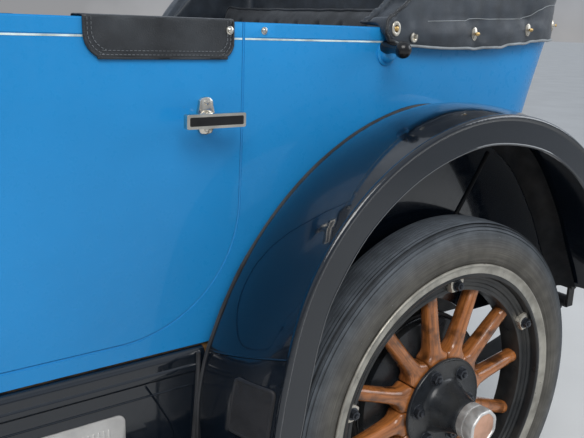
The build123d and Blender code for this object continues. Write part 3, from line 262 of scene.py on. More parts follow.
EXTRA = {
    "bead_steel": ("rim_silver", steel("bead_steel", (0.62, 0.58, 0.5), 0.28, 0.8)),
    "felloe_black": ("fender_black", satin("felloe_black", (0.014, 0.015, 0.016), 0.35,
                                           (0.07, 0.065, 0.055), 0.45)),
    "hub_black": ("fender_black", satin("hub_black", (0.016, 0.0185, 0.022), 0.27,
                                        (0.09, 0.085, 0.075), 0.35)),
    "nut_black": ("fender_black", steel("nut_black", (0.05, 0.055, 0.065), 0.24, 0.6, (1, 1, 1), 0.5)),
    "cap_face": ("radiator_nickel", steel("cap_face", (0.62, 0.36, 0.25), 0.5, 0.35, (1, 1, 1), 0.35)),
    "cap_aluminium": ("radiator_nickel", steel("cap_aluminium", (0.66, 0.65, 0.63),
                                               0.42, 0.75, (1, 1, 1), 0.3)),
    "nickel": ("radiator_nickel", steel("nickel", (0.74, 0.7, 0.62), 0.16, 1.0, (1, 1, 1), 0.25)),
    "brass": ("radiator_nickel", steel("brass", (0.6, 0.4, 0.16), 0.25, 1.0)),
    "cream_line": ("body_blue", satin("cream_line", (0.62, 0.72, 0.7), 0.35, (0.4, 0.5, 0.52), 0.3)),
    "inlay_black": ("wheel_rim_black", satin("inlay_black", (0.008, 0.008, 0.009), 0.2,
                                             (0.02, 0.02, 0.02), 0.2)),
    "piping_grey": ("boot_cloth", hide("piping_grey", (0.24, 0.26, 0.27), 0.5, 700, 0.2)),
    "thread_grey": ("leather_black", hide("thread_grey", (0.13, 0.14, 0.15), 0.8, 900, 0.2)),
    "welt_black": ("fender_black", hide("welt_black", (0.02, 0.02, 0.022), 0.5, 600, 0.2)),
    "pad_rubber": ("tyre_rubber", hide("pad_rubber", (0.011, 0.0105, 0.012), 0.6, 500, 0.3, 0.05)),
    "plate_aluminium": ("radiator_nickel", steel("plate_aluminium", (0.7, 0.68, 0.65),
                                                 0.4, 0.7, (1, 1, 1), 0.15)),
    "underseal": ("fender_black", satin("underseal", (0.004, 0.005, 0.007), 0.85, (0.05, 0.04, 0.03), 0.25)),
    "carpet": ("floor_wood", hide("carpet", (0.03, 0.028, 0.026), 0.95, 300, 1.0)),
    "dial_white": ("radiator_nickel", satin("dial_white", (0.7, 0.68, 0.6), 0.5, (0.5, 0.45, 0.35), 0.2)),
    "dash_wood": ("floor_wood", wood("dash_wood", (0.17, 0.06, 0.02), 0.5, 0.8, False)),
    "steering_wood": ("wheel_rim_black", wood("steering_wood", (0.06, 0.022, 0.01), 0.6, 0.9, False)),
    "lamp_red": ("glass_clear", glass("lamp_red", (0.5, 0.01, 0.01))),
}
MATS.update({name: material for name, (_, material) in EXTRA.items()})


class Form:
    """Vertices and faces of one piece, gathered from simple forms."""

    def __init__(self):
        self.verts, self.faces, self.uvs = [], [], []

    def add(self, verts, faces, uvs=None):
        n = len(self.verts)
        self.verts += [Vector(v) for v in verts]
        self.faces += [tuple(i + n for i in f) for f in faces]
        self.uvs += uvs or [(0.0, 0.0)] * len(verts)

    def rings(self, rings, loop=True, wrap=False, caps=False, uvs=None):
        """Skin between rings of equal length. loop closes each ring, wrap joins the last to the first."""
        n = len(rings[0])
        verts = [p for ring in rings for p in ring]
        faces = []
        for i in range(len(rings) if wrap else len(rings) - 1):
            j = (i + 1) % len(rings)
            for k in range(n if loop else n - 1):
                m = (k + 1) % n
                faces.append((i * n + k, i * n + m, j * n + m, j * n + k))
        if caps:
            faces += [tuple(range(n)), tuple(range((len(rings) - 1) * n, len(rings) * n))]
        self.add(verts, faces, uvs)

    def lathe(self, profile, place, steps=96, closed=True, uv=False):
        """A (y, r) profile turned about the local Y axis. place maps local points."""
        rings, uvs = [], []
        for i in range(steps):
            a = 2 * math.pi * i / steps - math.pi / 2
            rings.append([place((r * math.cos(a), y, r * math.sin(a))) for y, r in profile])
            if uv:
                uvs += [(i / steps, (r - 0.3) / 0.115) for y, r in profile]
        self.rings(rings, loop=closed, wrap=True, uvs=uvs or None)

    def tube(self, points, radius, sides=8, closed=False, flat=1.0):
        """A round cord along points. flat squeezes it across its first normal."""
        n = len(points)
        rings = []
        lead = None
        for i, p in enumerate(points):
            a = points[i - 1] if (i or closed) else p
            b = points[(i + 1) % n] if (i < n - 1 or closed) else p
            along = (b - a).normalized()
            if lead is None:
                lead = along.orthogonal().normalized()
            lead = (lead - along * lead.dot(along)).normalized()
            other = along.cross(lead)
            r = radius[i] if isinstance(radius, (list, tuple)) else radius
            rings.append([
                p + lead * (r * flat * math.cos(2 * math.pi * k / sides))
                + other * (r * math.sin(2 * math.pi * k / sides))
                for k in range(sides)
            ])
        self.rings(rings, wrap=closed, caps=not closed)

    def slab(self, outline, place, low, high, bevel=0.0, steps=2):
        """A plate with rounded edges. outline is (u, v); place maps (u, v, w)."""
        cu = sum(p[0] for p in outline) / len(outline)
        cv = sum(p[1] for p in outline) / len(outline)
        levels = []
        for k in range(steps + 1):
            a = math.pi / 2 * k / steps
            levels.append((bevel * (1 - math.sin(a)), high - bevel * (1 - math.cos(a))))
        if not bevel:
            levels = [(0.0, high)]
        rings = []
        for inset, w in levels + [(0.0, low)]:
            ring = []
            for u, v in outline:
                far = math.hypot(u - cu, v - cv)
                k = 1 - inset / far if far else 1
                ring.append(place((cu + (u - cu) * k, cv + (v - cv) * k, w)))
            rings.append(ring)
        self.rings(rings, caps=True)

    def piece(self, name, material, body, smooth=38.0, weld=True):
        mesh = bpy.data.meshes.new(name)
        mesh.from_pydata([tuple(v) for v in self.verts], [], self.faces)
        layer = mesh.uv_layers.new(name="UVMap")
        for loop in mesh.loops:
            layer.data[loop.index].uv = self.uvs[loop.vertex_index]
        b = bmesh.new()
        b.from_mesh(mesh)
        if weld:
            bmesh.ops.remove_doubles(b, verts=b.verts, dist=2e-6)
        bmesh.ops.recalc_face_normals(b, faces=b.faces)
        b.to_mesh(mesh)
        b.free()
        mesh.shade_smooth()
        mesh.set_sharp_from_angle(angle=math.radians(smooth))
        mesh.materials.append(MATS[material])
        obj = new_object(name, mesh)
        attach(obj, body)
        return obj


def new_object(name, data):
    """An object linked to the scene."""
    obj = bpy.data.objects.new(name, data)
    bpy.context.scene.collection.objects.link(obj)
    return obj


def basis(origin, u, v):
    """A place whose local axes are u, v and their cross product."""
    u = Vector(u).normalized()
    v = Vector(v)
    v = (v - u * v.dot(u)).normalized()
    w = u.cross(v)
    o = Vector(origin)
    return lambda p: o + u * p[0] + v * p[1] + w * p[2]


def axes_matrix(x, y, z, origin):
    """A matrix with these axes and origin as its columns."""
    return Matrix([*zip(x, y, z, origin), (0, 0, 0, 1)])


def side_place(point, side):
    """A place on a side panel whose w axis points out of the car on that side."""
    return basis(point, (-side, 0, 0), (0, 0, 1))


def shifted(place, u, v, w=0.0):
    """The same place, moved by u, v and w along its own axes."""
    return lambda p: place((u + p[0], v + p[1], w + p[2]))


def circle_on(place, radius, w, steps):
    """Points of a circle round the place's w axis."""
    turns = [2 * math.pi * k / steps for k in range(steps)]
    return [place((radius * math.cos(t), radius * math.sin(t), w)) for t in turns]


def turned_on(form, profile, place, steps=48, closed=False, caps=True):
    """A (r, w) profile turned about the place's w axis."""
    form.rings([circle_on(place, r, w, steps) for r, w in profile], wrap=closed, caps=caps and not closed)


def round_rect(width, height, radius, steps=5):
    """Outline of a rounded rectangle about the origin."""
    points = []
    for cx, cy, start in ((1, 1, 0), (-1, 1, 90), (-1, -1, 180), (1, -1, 270)):
        for k in range(steps + 1):
            a = math.radians(start + 90 * k / steps)
            points.append((cx * (width / 2 - radius) + radius * math.cos(a),
                           cy * (height / 2 - radius) + radius * math.sin(a)))
    return points


def moved(outline, u, v):
    """The outline, moved by u and v."""
    return [(a + u, b + v) for a, b in outline]


def polygon(count, radius, turn=0.0):
    """Corners of a regular polygon about the origin."""
    turns = [turn + 2 * math.pi * k / count for k in range(count)]
    return [(radius * math.cos(t), radius * math.sin(t)) for t in turns]


def oval(count, half_u, half_v):
    """Outline of an ellipse about the origin."""
    return [(u * half_u, v * half_v) for u, v in polygon(count, 1.0)]


def smooth_line(points, steps=8, closed=False):
    """Catmull-Rom curve through the points."""
    n = len(points)
    out = []
    for i in range(n if closed else n - 1):
        p = [points[(i + k) % n] if closed else points[min(max(i + k, 0), n - 1)] for k in (-1, 0, 1, 2)]
        for s in range(steps):
            t = s / steps
            out.append(0.5 * (2 * p[1] + (p[2] - p[0]) * t + (2 * p[0] - 5 * p[1] + 4 * p[2] - p[3]) * t * t
                              + (3 * p[1] - p[0] - 3 * p[2] + p[3]) * t ** 3))
    if not closed:
        out.append(points[-1].copy())
    return out


TREES = {}


def hit(node, origin, direction):
    """(point, normal) where a ray meets a CAD node at rest."""
    if node not in TREES:
        mesh = NODES[node].data
        TREES[node] = BVHTree.FromPolygons([v.co for v in mesh.vertices], [p.vertices for p in mesh.polygons])
    point, normal, _, _ = TREES[node].ray_cast(Vector(origin), Vector(direction).normalized())
    return (point, normal) if point else (None, None)


def skin(node, x, z, side, lift=0.0):
    """A point on a side panel, seen from outside, and the outward normal."""
    point, normal = hit(node, at(x, side * OUTSIDE_Y, z), (0, -side, 0))
    if point is None:
        return at(x, side * 0.64, z), Vector((0, side, 0))
    if normal.y * side < 0:
        normal = -normal
    return point + normal * lift, normal


def arc3(a, b, c, steps):
    """Points from a to c on the circle through three 2-D points."""
    (ax, ay), (bx, by), (cx, cy) = a, b, c
    d = 2 * (ax * (by - cy) + bx * (cy - ay) + cx * (ay - by))
    sa, sb, sc = (p[0] ** 2 + p[1] ** 2 for p in (a, b, c))
    ux = (sa * (by - cy) + sb * (cy - ay) + sc * (ay - by)) / d
    uy = (sa * (cx - bx) + sb * (ax - cx) + sc * (bx - ax)) / d
    r = math.hypot(ax - ux, ay - uy)
    turns = [math.atan2(p[1] - uy, p[0] - ux) for p in (a, b, c)]
    for i in (1, 2):
        turns[i] += 2 * math.pi * round((turns[i - 1] - turns[i]) / (2 * math.pi))
    start, end = turns[0], turns[2]
    return [(ux + r * math.cos(start + (end - start) * k / steps),
             uy + r * math.sin(start + (end - start) * k / steps))
            for k in range(steps + 1)]


# Wheels. Profiles are (y, r) in metres, y outwards from the wheel's middle plane.
TREAD_HALF = 0.034
# Tread grooves: distance from the middle along the surface, half width, depth
TREAD_GROOVES = (
    (0.0050, 0.0016, 0.0050), (0.0135, 0.0016, 0.0050), (0.0220, 0.0016, 0.0050), (0.0305, 0.0016, 0.0046),
    (0.0390, 0.0015, 0.0040), (0.0470, 0.0014, 0.0034), (0.0550, 0.0012, 0.0024),
)
SIDEWALL_LINES = (0.3820, 0.3455, 0.3360)
# The rim's base is black, partly as paint and partly as painted shade on its inner lip, and its flange is
# bright
RIM_BASE = (
    (0.0300, 0.2965), (0.0440, 0.2965), (0.0485, 0.2978), (0.0508, 0.3010),
    (0.0506, 0.3046), (0.0499, 0.3062),
    (0.0480, 0.3062), (0.0478, 0.3053),
)
RIM_FLANGE = (
    (0.0497, 0.3062), (0.0496, 0.3100), (0.0498, 0.3150), (0.0508, 0.3190),
    (0.0532, 0.3215), (0.0548, 0.3240),
    (0.0545, 0.3262), (0.0528, 0.3274), (0.0505, 0.3272), (0.0488, 0.3256),
    (0.0480, 0.3225), (0.0480, 0.3062),
)
FELLOE = (
    (0.0240, 0.2620), (0.0262, 0.2628), (0.0268, 0.2650), (0.0268, 0.2705),
    (0.0256, 0.2718), (0.0256, 0.2790),
    (0.0275, 0.2802), (0.0296, 0.2815), (0.0300, 0.2835), (0.0300, 0.2880),
    (0.0318, 0.2895), (0.0330, 0.2920),
    (0.0334, 0.2952), (0.0310, 0.2962), (-0.0260, 0.2962), (-0.0270, 0.2950),
    (-0.0270, 0.2635), (-0.0255, 0.2620),
)
HUB = (
    (-0.0493, 0.0205), (-0.0493, 0.0460), (-0.0293, 0.0500), (-0.0293, 0.1080),
    (-0.0283, 0.1090), (-0.0233, 0.1090),
    (-0.0233, 0.0425), (0.0234, 0.0425), (0.0234, 0.1075), (0.0244, 0.1088),
    (0.0270, 0.1092), (0.0300, 0.1088),
    (0.0314, 0.1074), (0.0312, 0.1056), (0.0300, 0.1044), (0.0294, 0.1025),
    (0.0294, 0.0680), (0.0302, 0.0640),
    (0.0330, 0.0602), (0.0400, 0.0566), (0.0520, 0.0520), (0.0660, 0.0470),
    (0.0780, 0.0432), (0.0880, 0.0408),
    (0.0950, 0.0398), (0.0975, 0.0385), (0.0985, 0.0360), (0.0985, 0.0205),
)
# Hub cap: y, r, share of the octagon in its outline
CAP = (
    (0.0960, 0.0300, 0.0), (0.0975, 0.0372, 0.0), (0.0995, 0.0392, 0.0),
    (0.1120, 0.0396, 0.0), (0.1150, 0.0394, 0.1),
    (0.1158, 0.0378, 0.2), (0.1176, 0.0378, 0.3), (0.1186, 0.0398, 0.5),
    (0.1240, 0.0404, 0.9), (0.1370, 0.0404, 1.0),
    (0.1405, 0.0396, 1.0), (0.1425, 0.0376, 1.0), (0.1425, 0.0335, 1.0),
    (0.1412, 0.0322, 0.9), (0.1400, 0.0316, 0.8),
)
CAP_FACE = ((0.1400, 0.0316, 0.8), (0.1404, 0.0220, 0.5), (0.1410, 0.0120, 0.2),
            (0.1412, 0.0040, 0.0), (0.1412, 0.0004, 0.0))
SPOKES = 12
SPOKE_PHASE = 20.0
# Spoke from hub to felloe: radius, width, depth, squareness of its section
SPOKE = (
    (0.0600, 0.0320, 0.0460, 8.0), (0.1090, 0.0570, 0.0460, 8.0), (0.1145, 0.0590, 0.0455, 6.0),
    (0.1180, 0.0565, 0.0448, 4.5), (0.1215, 0.0500, 0.0440, 3.6), (0.1260, 0.0430, 0.0432, 3.0),
    (0.1330, 0.0375, 0.0424, 2.7), (0.1450, 0.0345, 0.0414, 2.5), (0.1650, 0.0328, 0.0402, 2.3),
    (0.1900, 0.0320, 0.0388, 2.2), (0.2200, 0.0314, 0.0372, 2.2), (0.2480, 0.0308, 0.0360, 2.2),
    (0.2495, 0.0296, 0.0350, 2.2), (0.2510, 0.0306, 0.0358, 2.2), (0.2630, 0.0302, 0.0354, 2.2),
)
HUB_BOLTS, HUB_BOLT_R, HUB_BOLT_PHASE = 6, 0.080, 66.0
LUG_ANGLES = (14.0, 89.0, 149.0, 224.0, 299.0)
SPARE_LUG_ANGLES = (50.3, 129.7, 230.3, 309.7)
LUG_R = 0.2850
WEDGE = (
    (-0.013, -0.017), (0.013, -0.017), (0.0185, -0.004), (0.0195, 0.0175), (0.0, 0.0200), (-0.0195, 0.0175),
    (-0.0185, -0.004),
)
BRAKE_DRUM = (
    (-0.0293, 0.050), (-0.0293, 0.1745), (-0.0315, 0.1780), (-0.0480, 0.1780), (-0.0490, 0.1765),
    (-0.0510, 0.1765), (-0.0520, 0.1780), (-0.0873, 0.1780), (-0.0873, 0.1720), (-0.0353, 0.1720),
    (-0.0353, 0.050),
)
BRAKE_BAND = (
    (-0.0840, 0.1797), (-0.0540, 0.1797), (-0.0540, 0.1860), (-0.0560, 0.1872), (-0.0820, 0.1872),
    (-0.0840, 0.1860),
)
SPARE_AT = (-0.568, 0.840)
WHEELS = (("front_left", WHEELBASE, 1), ("front_right", WHEELBASE, -1), ("rear_left", 0.0, 1),
          ("rear_right", 0.0, -1))


def tyre_profile():
    """Crowned tread with grooves over its shoulders, sidewalls with thin moulded lines, straight beads."""
    spine = [(y, 0.4150 - 0.0020 * (y / TREAD_HALF) ** 2) for y in (TREAD_HALF * k / 12 for k in range(13))]
    spine += [(0.0372, 0.4118), (0.0402, 0.4088), (0.0430, 0.4050)]
    for y, r in arc3((0.0452, 0.4010), (0.0560, 0.3620), (0.0477, 0.3240), 44):
        lift = sum(max(0.0, 1 - abs(r - line) / 0.0019) for line in SIDEWALL_LINES)
        spine.append((y + 0.0009 * lift, r))
    spine.append((0.0474, 0.3058))
    run = [0.0]
    for (ya, ra), (yb, rb) in zip(spine, spine[1:]):
        run.append(run[-1] + math.hypot(yb - ya, rb - ra))

    def sunk(s, deep):
        k = max(i for i, far in enumerate(run[:-1]) if far <= s)
        (ya, ra), (yb, rb) = spine[k:k + 2]
        long = run[k + 1] - run[k]
        share = (s - run[k]) / long
        return ya + (yb - ya) * share + (rb - ra) / long * deep, ra + (rb
                                                                       - ra) * share - (yb - ya) / long * deep

    half = [(s, point) for s, point in zip(run, spine) if all(abs(s - spot) > w
                                                              for spot, w, deep in TREAD_GROOVES)]
    for spot, w, deep in TREAD_GROOVES:
        half += [(spot + w * k, sunk(spot + w * k, deep * down))
                 for k, down in ((-1, 0), (-0.6, 1), (0.6, 1), (1, 0))]
    half = [point for s, point in sorted(half)]
    return half + [(-y, r) for y, r in reversed(half[1:])]


def octagon(angle):
    """Radius of a unit octagon with rounded corners."""
    step = math.pi / 4
    a = (angle + step / 2) % step - step / 2
    return min(math.cos(step / 2) / math.cos(a) * 1.035, 1.0)


def shaped_lathe(form, profile, place, steps=96):
    """A turned form whose outline goes from a circle to an octagon, for the hub cap."""
    rings = []
    for y, r, share in profile:
        ring = []
        for i in range(steps):
            a = 2 * math.pi * i / steps
            k = r * (1 - share + share * octagon(a))
            ring.append(place((k * math.cos(a), y, k * math.sin(a))))
        rings.append(ring)
    form.rings(rings)


def nut(form, place, radius, height, washer=True, stud=True):
    """A hexagon nut with chamfered corners, on its washer, with the stud's round end."""
    if washer:
        form.slab(polygon(20, radius * 1.32), place, 0.0, 0.0016, 0.0004, 1)
    form.slab(polygon(6, radius), place, 0.0012, height, radius * 0.16, 2)
    if stud:
        form.slab(polygon(12, radius * 0.52), place, height - 0.001, height + radius * 0.42, radius * 0.2, 2)


def screw(form, place, radius):
    """A round-headed screw."""
    form.slab(polygon(16, radius), place, -0.001, radius * 0.55, radius * 0.42, 3)


def spoke_form(form, place):
    """Spokes with mitred feet and oval shafts. The UVs run along each spoke, in metres."""
    sides = 28
    for k in range(SPOKES):
        a = math.radians(SPOKE_PHASE + 360 / SPOKES * k)
        out, across = (math.cos(a), math.sin(a)), (-math.sin(a), math.cos(a))
        rings, uvs = [], []
        for r, width, depth, square in SPOKE:
            ring = []
            for i in range(sides):
                t = 2 * math.pi * i / sides
                c, s = math.cos(t), math.sin(t)
                w = width / 2 * math.copysign(abs(c) ** (2 / square), c)
                d = depth / 2 * math.copysign(abs(s) ** (2 / square), s)
                ring.append(place((out[0] * r + across[0] * w, d, out[1] * r + across[1] * w)))
                uvs.append((0.31 * k + 0.06 * abs(2 * i / sides - 1), 0.27 * k + r))
            rings.append(ring)
        form.rings(rings, caps=True, uvs=uvs)


def lug_form(steel_form, nut_form, place, angle):
    """A wedge clamp that holds the rim on the felloe, with its nut."""
    a = math.radians(angle)
    out = (math.cos(a), math.sin(a))
    across = (-math.sin(a), math.cos(a))

    def spot(p):
        u, v, w = p
        return place((out[0] * (LUG_R + v) + across[0] * u, 0.0280 + w, out[1] * (LUG_R + v) + across[1] * u))

    steel_form.slab(WEDGE, spot, -0.002, 0.0120, 0.002, 2)
    nut(nut_form, shifted(spot, 0, -0.003, 0.0120), 0.0100, 0.0110)


def rim_forms(place):
    """The rim's black base, partly painted shade, and its two bright flanges."""
    base, flange = Form(), Form()
    base.lathe(list(RIM_BASE) + [(-y, r) for y, r in reversed(RIM_BASE)], place, 120)
    for out in (1, -1):
        flange.lathe([(out * y, r) for y, r in RIM_FLANGE], place, 120)
    return base, flange


def build_wheel(name, x, side):
    """One wheel of turned, forged and moulded pieces, on its own body."""
    body = f"wheel_{name}"

    def place(p):
        return Vector((x + REAR_X + p[0], side * (WHEEL_Y + p[1]), WHEEL_R + p[2]))

    form = Form()
    form.lathe(tyre_profile(), place, 132, uv=True)
    tyre = form.piece(f"tyre_carcass_{name}", "tyre_rubber", body, 50)
    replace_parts(tyre, f"tyre_{name}")

    base, flange = rim_forms(place)
    base.piece(f"rim_base_{name}", "felloe_black", body)
    flange.piece(f"rim_band_{name}", "rim_silver", body)

    black, clamps, nuts = Form(), Form(), Form()
    black.lathe(FELLOE, place, 120)
    for angle in LUG_ANGLES:
        lug_form(clamps, nuts, place, angle)
    black.piece(f"felloe_{name}", "felloe_black", body)
    clamps.piece(f"rim_wedges_{name}", "bead_steel", body, 30)

    hub = Form()
    hub.lathe(HUB, place, 96)
    for k in range(HUB_BOLTS):
        a = math.radians(HUB_BOLT_PHASE + 360 / HUB_BOLTS * k)
        cx, cz = HUB_BOLT_R * math.cos(a), HUB_BOLT_R * math.sin(a)
        nut(nuts, lambda p: place((cx + p[0], 0.0293 + p[2], cz + p[1])), 0.0128, 0.0110)
    if x == 0:
        hub.lathe(BRAKE_DRUM, place, 96)
    shell = hub.piece(f"hub_shell_{name}", "hub_black", body)
    nuts.piece(f"wheel_nuts_{name}", "nut_black", body, 30)
    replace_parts(shell, f"rim_and_hub_{name}")

    cap = Form()
    shaped_lathe(cap, CAP, place)
    cap.piece(f"hub_cap_{name}", "cap_aluminium", body, 30)
    face = Form()
    shaped_lathe(face, CAP_FACE, place)
    face.piece(f"hub_cap_face_{name}", "cap_face", body, 60)

    form = Form()
    spoke_form(form, place)
    spokes = form.piece(f"wood_spokes_{name}", "spoke_wood", body, 60)
    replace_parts(spokes, f"spokes_{name}")


def build_spare():
    """The spare tyre and rim, its outer side to the rear."""
    def place(p):
        return Vector((SPARE_AT[0] + REAR_X - p[1], p[0], SPARE_AT[1] + p[2]))

    form = Form()
    form.lathe(tyre_profile(), place, 132, uv=True)
    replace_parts(form.piece("spare_tyre_carcass", "tyre_rubber", "chassis", 50), "spare_tyre")
    base, flange = rim_forms(place)
    base.piece("spare_rim_base", "felloe_black", "chassis")
    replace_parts(flange.piece("spare_rim_band", "rim_silver", "chassis"), "spare_rim")
    clamps, nuts = Form(), Form()
    for angle in SPARE_LUG_ANGLES:
        lug_form(clamps, nuts, shifted(place, 0, -0.012), angle)
    clamps.piece("spare_wedges", "bead_steel", "chassis", 30)
    nuts.piece("spare_nuts", "inlay_black", "chassis", 30)


def build_brakes():
    """Outer brake bands round the rear drums, on the axle's backing plates."""
    for side_name, side in SIDES.items():
        form = Form()

        def place(p):
            return Vector((REAR_X + p[0], side * (WHEEL_Y + p[1]), WHEEL_R + p[2]))

        form.lathe(BRAKE_BAND, place, 96)
        form.slab(round_rect(0.05, 0.03, 0.006), basis(place((-0.2, -0.069, 0.0)), (0, 1, 0),
                                                       (0, 0, 1)), -0.014, 0.014, 0.003)
        form.tube([place((-0.205, -0.08, z)) for z in (-0.05, 0.05)], 0.006, 10)
        form.piece(f"brake_band_{side_name}", "chassis_black", "chassis")


# Body trim
BODY_TOP_Z = 1.208
STRIPE_Z = 1.181
# Belt moulding: z and how far it stands out
BELT = ((1.1836, 0.0), (1.1842, 0.0013), (1.2055, 0.0013), (1.2066, 0.0))
# Doors: name, x of the rear and front gap, rear and front corner radius below
DOORS = (("rear", 0.467, 1.050, 0.225, 0.060), ("front", 1.160, 1.700, 0.060, 0.060))
DOOR_LOW_Z = 0.676
HANDLE_Z = 1.055
# Leather flap on each rear door: its ends, lowest and highest edge, and the corner radius at each end
FLAP_X, FLAP_LOW, FLAP_TOP, FLAP_CORNERS = (0.488, 0.742), 1.148, 1.2085, (0.026, 0.036)
# The highest line at which a ray still meets a door's side
DOOR_EDGE_Z = 1.2068
FENDER_CENTRE = (0.030, 0.559)
# Rear fender: angle round its centre in degrees, inner and outer radius
FENDER = (
    (-19.5, 0.556, 0.552), (-11.5, 0.534, 0.514), (-5.0, 0.525, 0.498),
    (0.0, 0.520, 0.489), (7.0, 0.512, 0.484),
    (13.0, 0.503, 0.483), (20.0, 0.495, 0.487), (30.0, 0.487, 0.494),
    (45.0, 0.481, 0.499), (60.0, 0.482, 0.500),
    (75.0, 0.489, 0.500), (90.0, 0.497, 0.500), (110.0, 0.500, 0.500),
    (130.0, 0.500, 0.500), (150.0, 0.500, 0.500),
    (165.0, 0.518, 0.518), (179.0, 0.571, 0.571),
)
FENDER_SIDE_Y, BODY_Y = 0.841, 0.640
SKIRT = 0.052
# Running board: x of its rear and front end, its outer edge and its top
BOARD = (0.534, 2.060, 0.845, 0.392)
MAT_X, MAT_Y = (0.610, 1.984), (0.6443, 0.8230)
APRON_Y = 0.634


def side_runs():
    """The painted sides as runs between gaps: side's name, side, x from, x to, node, body."""
    for side_name, side in SIDES.items():
        yield side_name, side, 0.150, 0.4642, "body_tub", "chassis"
        yield side_name, side, 0.4698, 1.0472, f"door_rear_{side_name}", f"door_rear_{side_name}_body"
        yield side_name, side, 1.0528, 1.1572, "body_tub", "chassis"
        yield side_name, side, 1.1628, 1.6972, f"door_front_{side_name}", f"door_front_{side_name}_body"
        yield side_name, side, 1.7028, 1.7480, "body_tub", "chassis"
        yield side_name, side, 1.7520, 2.1180, "cowl", "chassis"


def build_belt():
    """A low belt moulding under the body's top edge, with a thin painted line below it."""
    moulding, line = {}, {}
    for side_name, side, x0, x1, node, body in side_runs():
        steps = max(2, int((x1 - x0) / 0.03))
        xs = [x0 + (x1 - x0) * i / steps for i in range(steps + 1)]
        if node != "cowl":
            form = moulding.setdefault((body, side_name), Form())
            rings = []
            for x in xs:
                end = 0.2 if x in (xs[0], xs[-1]) else 1.0
                rings.append([skin(node, x, z, side, lift * end - 0.0002)[0] for z, lift in BELT])
            form.rings(rings, loop=False)
        form = line.setdefault((body, side_name), Form())
        rings = []
        for x in xs:
            low, normal = skin(node, x, STRIPE_Z - 0.0015, side)
            high, _ = skin(node, x, STRIPE_Z + 0.0015, side)
            rings.append([low - normal * 0.0004, low + normal * 0.0005, high + normal * 0.0005,
                          high - normal * 0.0004])
        form.rings(rings, caps=True)
    for (body, side_name), form in moulding.items():
        form.piece(f"belt_{side_name}_{body}", "body_blue", body)
    for (body, side_name), form in line.items():
        form.piece(f"stripe_{side_name}_{body}", "cream_line", body)


def door_edge(x0, x1, rear_r, front_r, off):
    """Side view of a door's gap line, moved outwards by off, from its rear top to its front top."""
    x0, x1, z0 = x0 - off, x1 + off, DOOR_LOW_Z - off
    rear_r, front_r = rear_r + off, front_r + off
    line = [(x0, BODY_TOP_Z - 0.001 - 0.02 * k) for k in range(int((BODY_TOP_Z - z0 - rear_r) / 0.02))]
    for k in range(13):
        a = math.radians(180 + 90 * k / 12)
        line.append((x0 + rear_r + rear_r * math.cos(a), z0 + rear_r + rear_r * math.sin(a)))
    line += [(x0 + rear_r + (x1 - front_r - x0 - rear_r) * k / 10, z0) for k in range(1, 10)]
    for k in range(9):
        a = math.radians(270 + 90 * k / 8)
        line.append((x1 - front_r + front_r * math.cos(a), z0 + front_r + front_r * math.sin(a)))
    return line


def build_jambs():
    """Rebates on the body behind the doors' rear and lower gaps, which leave a fine seam."""
    for side_name, side in SIDES.items():
        form = Form()
        for _, x0, x1, rear_r, front_r in DOORS:
            wide = door_edge(x0, x1, rear_r, front_r, 0.0026)
            tight = door_edge(x0, x1, rear_r, front_r, -0.0004)
            sample = door_edge(x0, x1, rear_r, front_r, 0.008)
            rings = []
            for (wx, wz), (tx, tz), (sx, sz) in list(zip(wide, tight, sample))[:-9]:
                point, _ = skin("body_tub", sx, max(sz, 0.652), side)
                deep = Vector((0, -side * 0.022, 0))
                a = at(wx, point.y - side * 0.0012, wz)
                b = at(tx, point.y - side * 0.0022, tz)
                rings.append([a, b, b + deep, a + deep])
            form.rings(rings, caps=True)
        form.piece(f"door_jambs_{side_name}", "body_blue", "chassis")


def patch(form, outline, project, lifts):
    """A raised plate that follows a surface: rings of the outline shrunk to its centre, each with its lift."""
    cu = sum(p[0] for p in outline) / len(outline)
    cv = sum(p[1] for p in outline) / len(outline)
    rings = []
    for scale, lift in lifts:
        ring = []
        for u, v in outline:
            point, normal = project(cu + (u - cu) * scale, cv + (v - cv) * scale)
            ring.append(point + normal * lift)
        rings.append(ring)
    form.rings(rings, caps=True)


def finer(outline, step):
    """The closed outline with points no further apart than step."""
    out = []
    for (ax, ay), (bx, by) in zip(outline, outline[1:] + outline[:1]):
        n = max(1, math.ceil(math.hypot(bx - ax, by - ay) / step))
        out += [(ax + (bx - ax) * k / n, ay + (by - ay) * k / n) for k in range(n)]
    return out


def stitches(form, points, normals, length=0.0042, gap=0.0026, radius=0.00055):
    """Short threads laid along a line on a surface."""
    start, pitch = 0.0, length + gap
    total = [0.0]
    for a, b in zip(points, points[1:]):
        total.append(total[-1] + (b - a).length)

    def spot(s):
        for i in range(len(points) - 1):
            if s <= total[i + 1]:
                t = (s - total[i]) / max(total[i + 1] - total[i], 1e-9)
                return points[i].lerp(points[i + 1], t), normals[i].lerp(normals[i + 1], t).normalized()
        return points[-1], normals[-1]

    while start + length < total[-1]:
        a, na = spot(start)
        m, nm = spot(start + length / 2)
        b, nb = spot(start + length)
        form.tube([a - na * radius * 0.6, m + nm * radius, b - nb * radius * 0.6], radius, 5)
        start += pitch


def flap_outline(inset):
    """Side view of the leather flap on a rear door, open at its top."""
    x0, x1, z0, z1 = FLAP_X[0] + inset, FLAP_X[1] - inset, FLAP_LOW + inset, FLAP_TOP
    r0, r1 = (radius - inset * 0.5 for radius in FLAP_CORNERS)
    line = [(x0, z1), (x0, z0 + r0)]
    line += [(x0 + r0 - r0 * math.cos(a), z0 + r0 - r0 * math.sin(a))
             for a in (math.radians(15 * k) for k in range(1, 7))]
    line += [(x1 - r1 + r1 * math.sin(a), z0 + r1 - r1 * math.cos(a))
             for a in (math.radians(15 * k) for k in range(0, 7))]
    line += [(x1, z1)]
    return line


def flap_low(x):
    """Height of the flap's lower edge, which is round at both corners."""
    for radius, edge, way in zip(FLAP_CORNERS, FLAP_X, (1, -1)):
        inward = (x - edge) * way
        if inward < radius:
            return FLAP_LOW + radius - math.sqrt(max(0.0, radius ** 2 - (radius - inward) ** 2))
    return FLAP_LOW


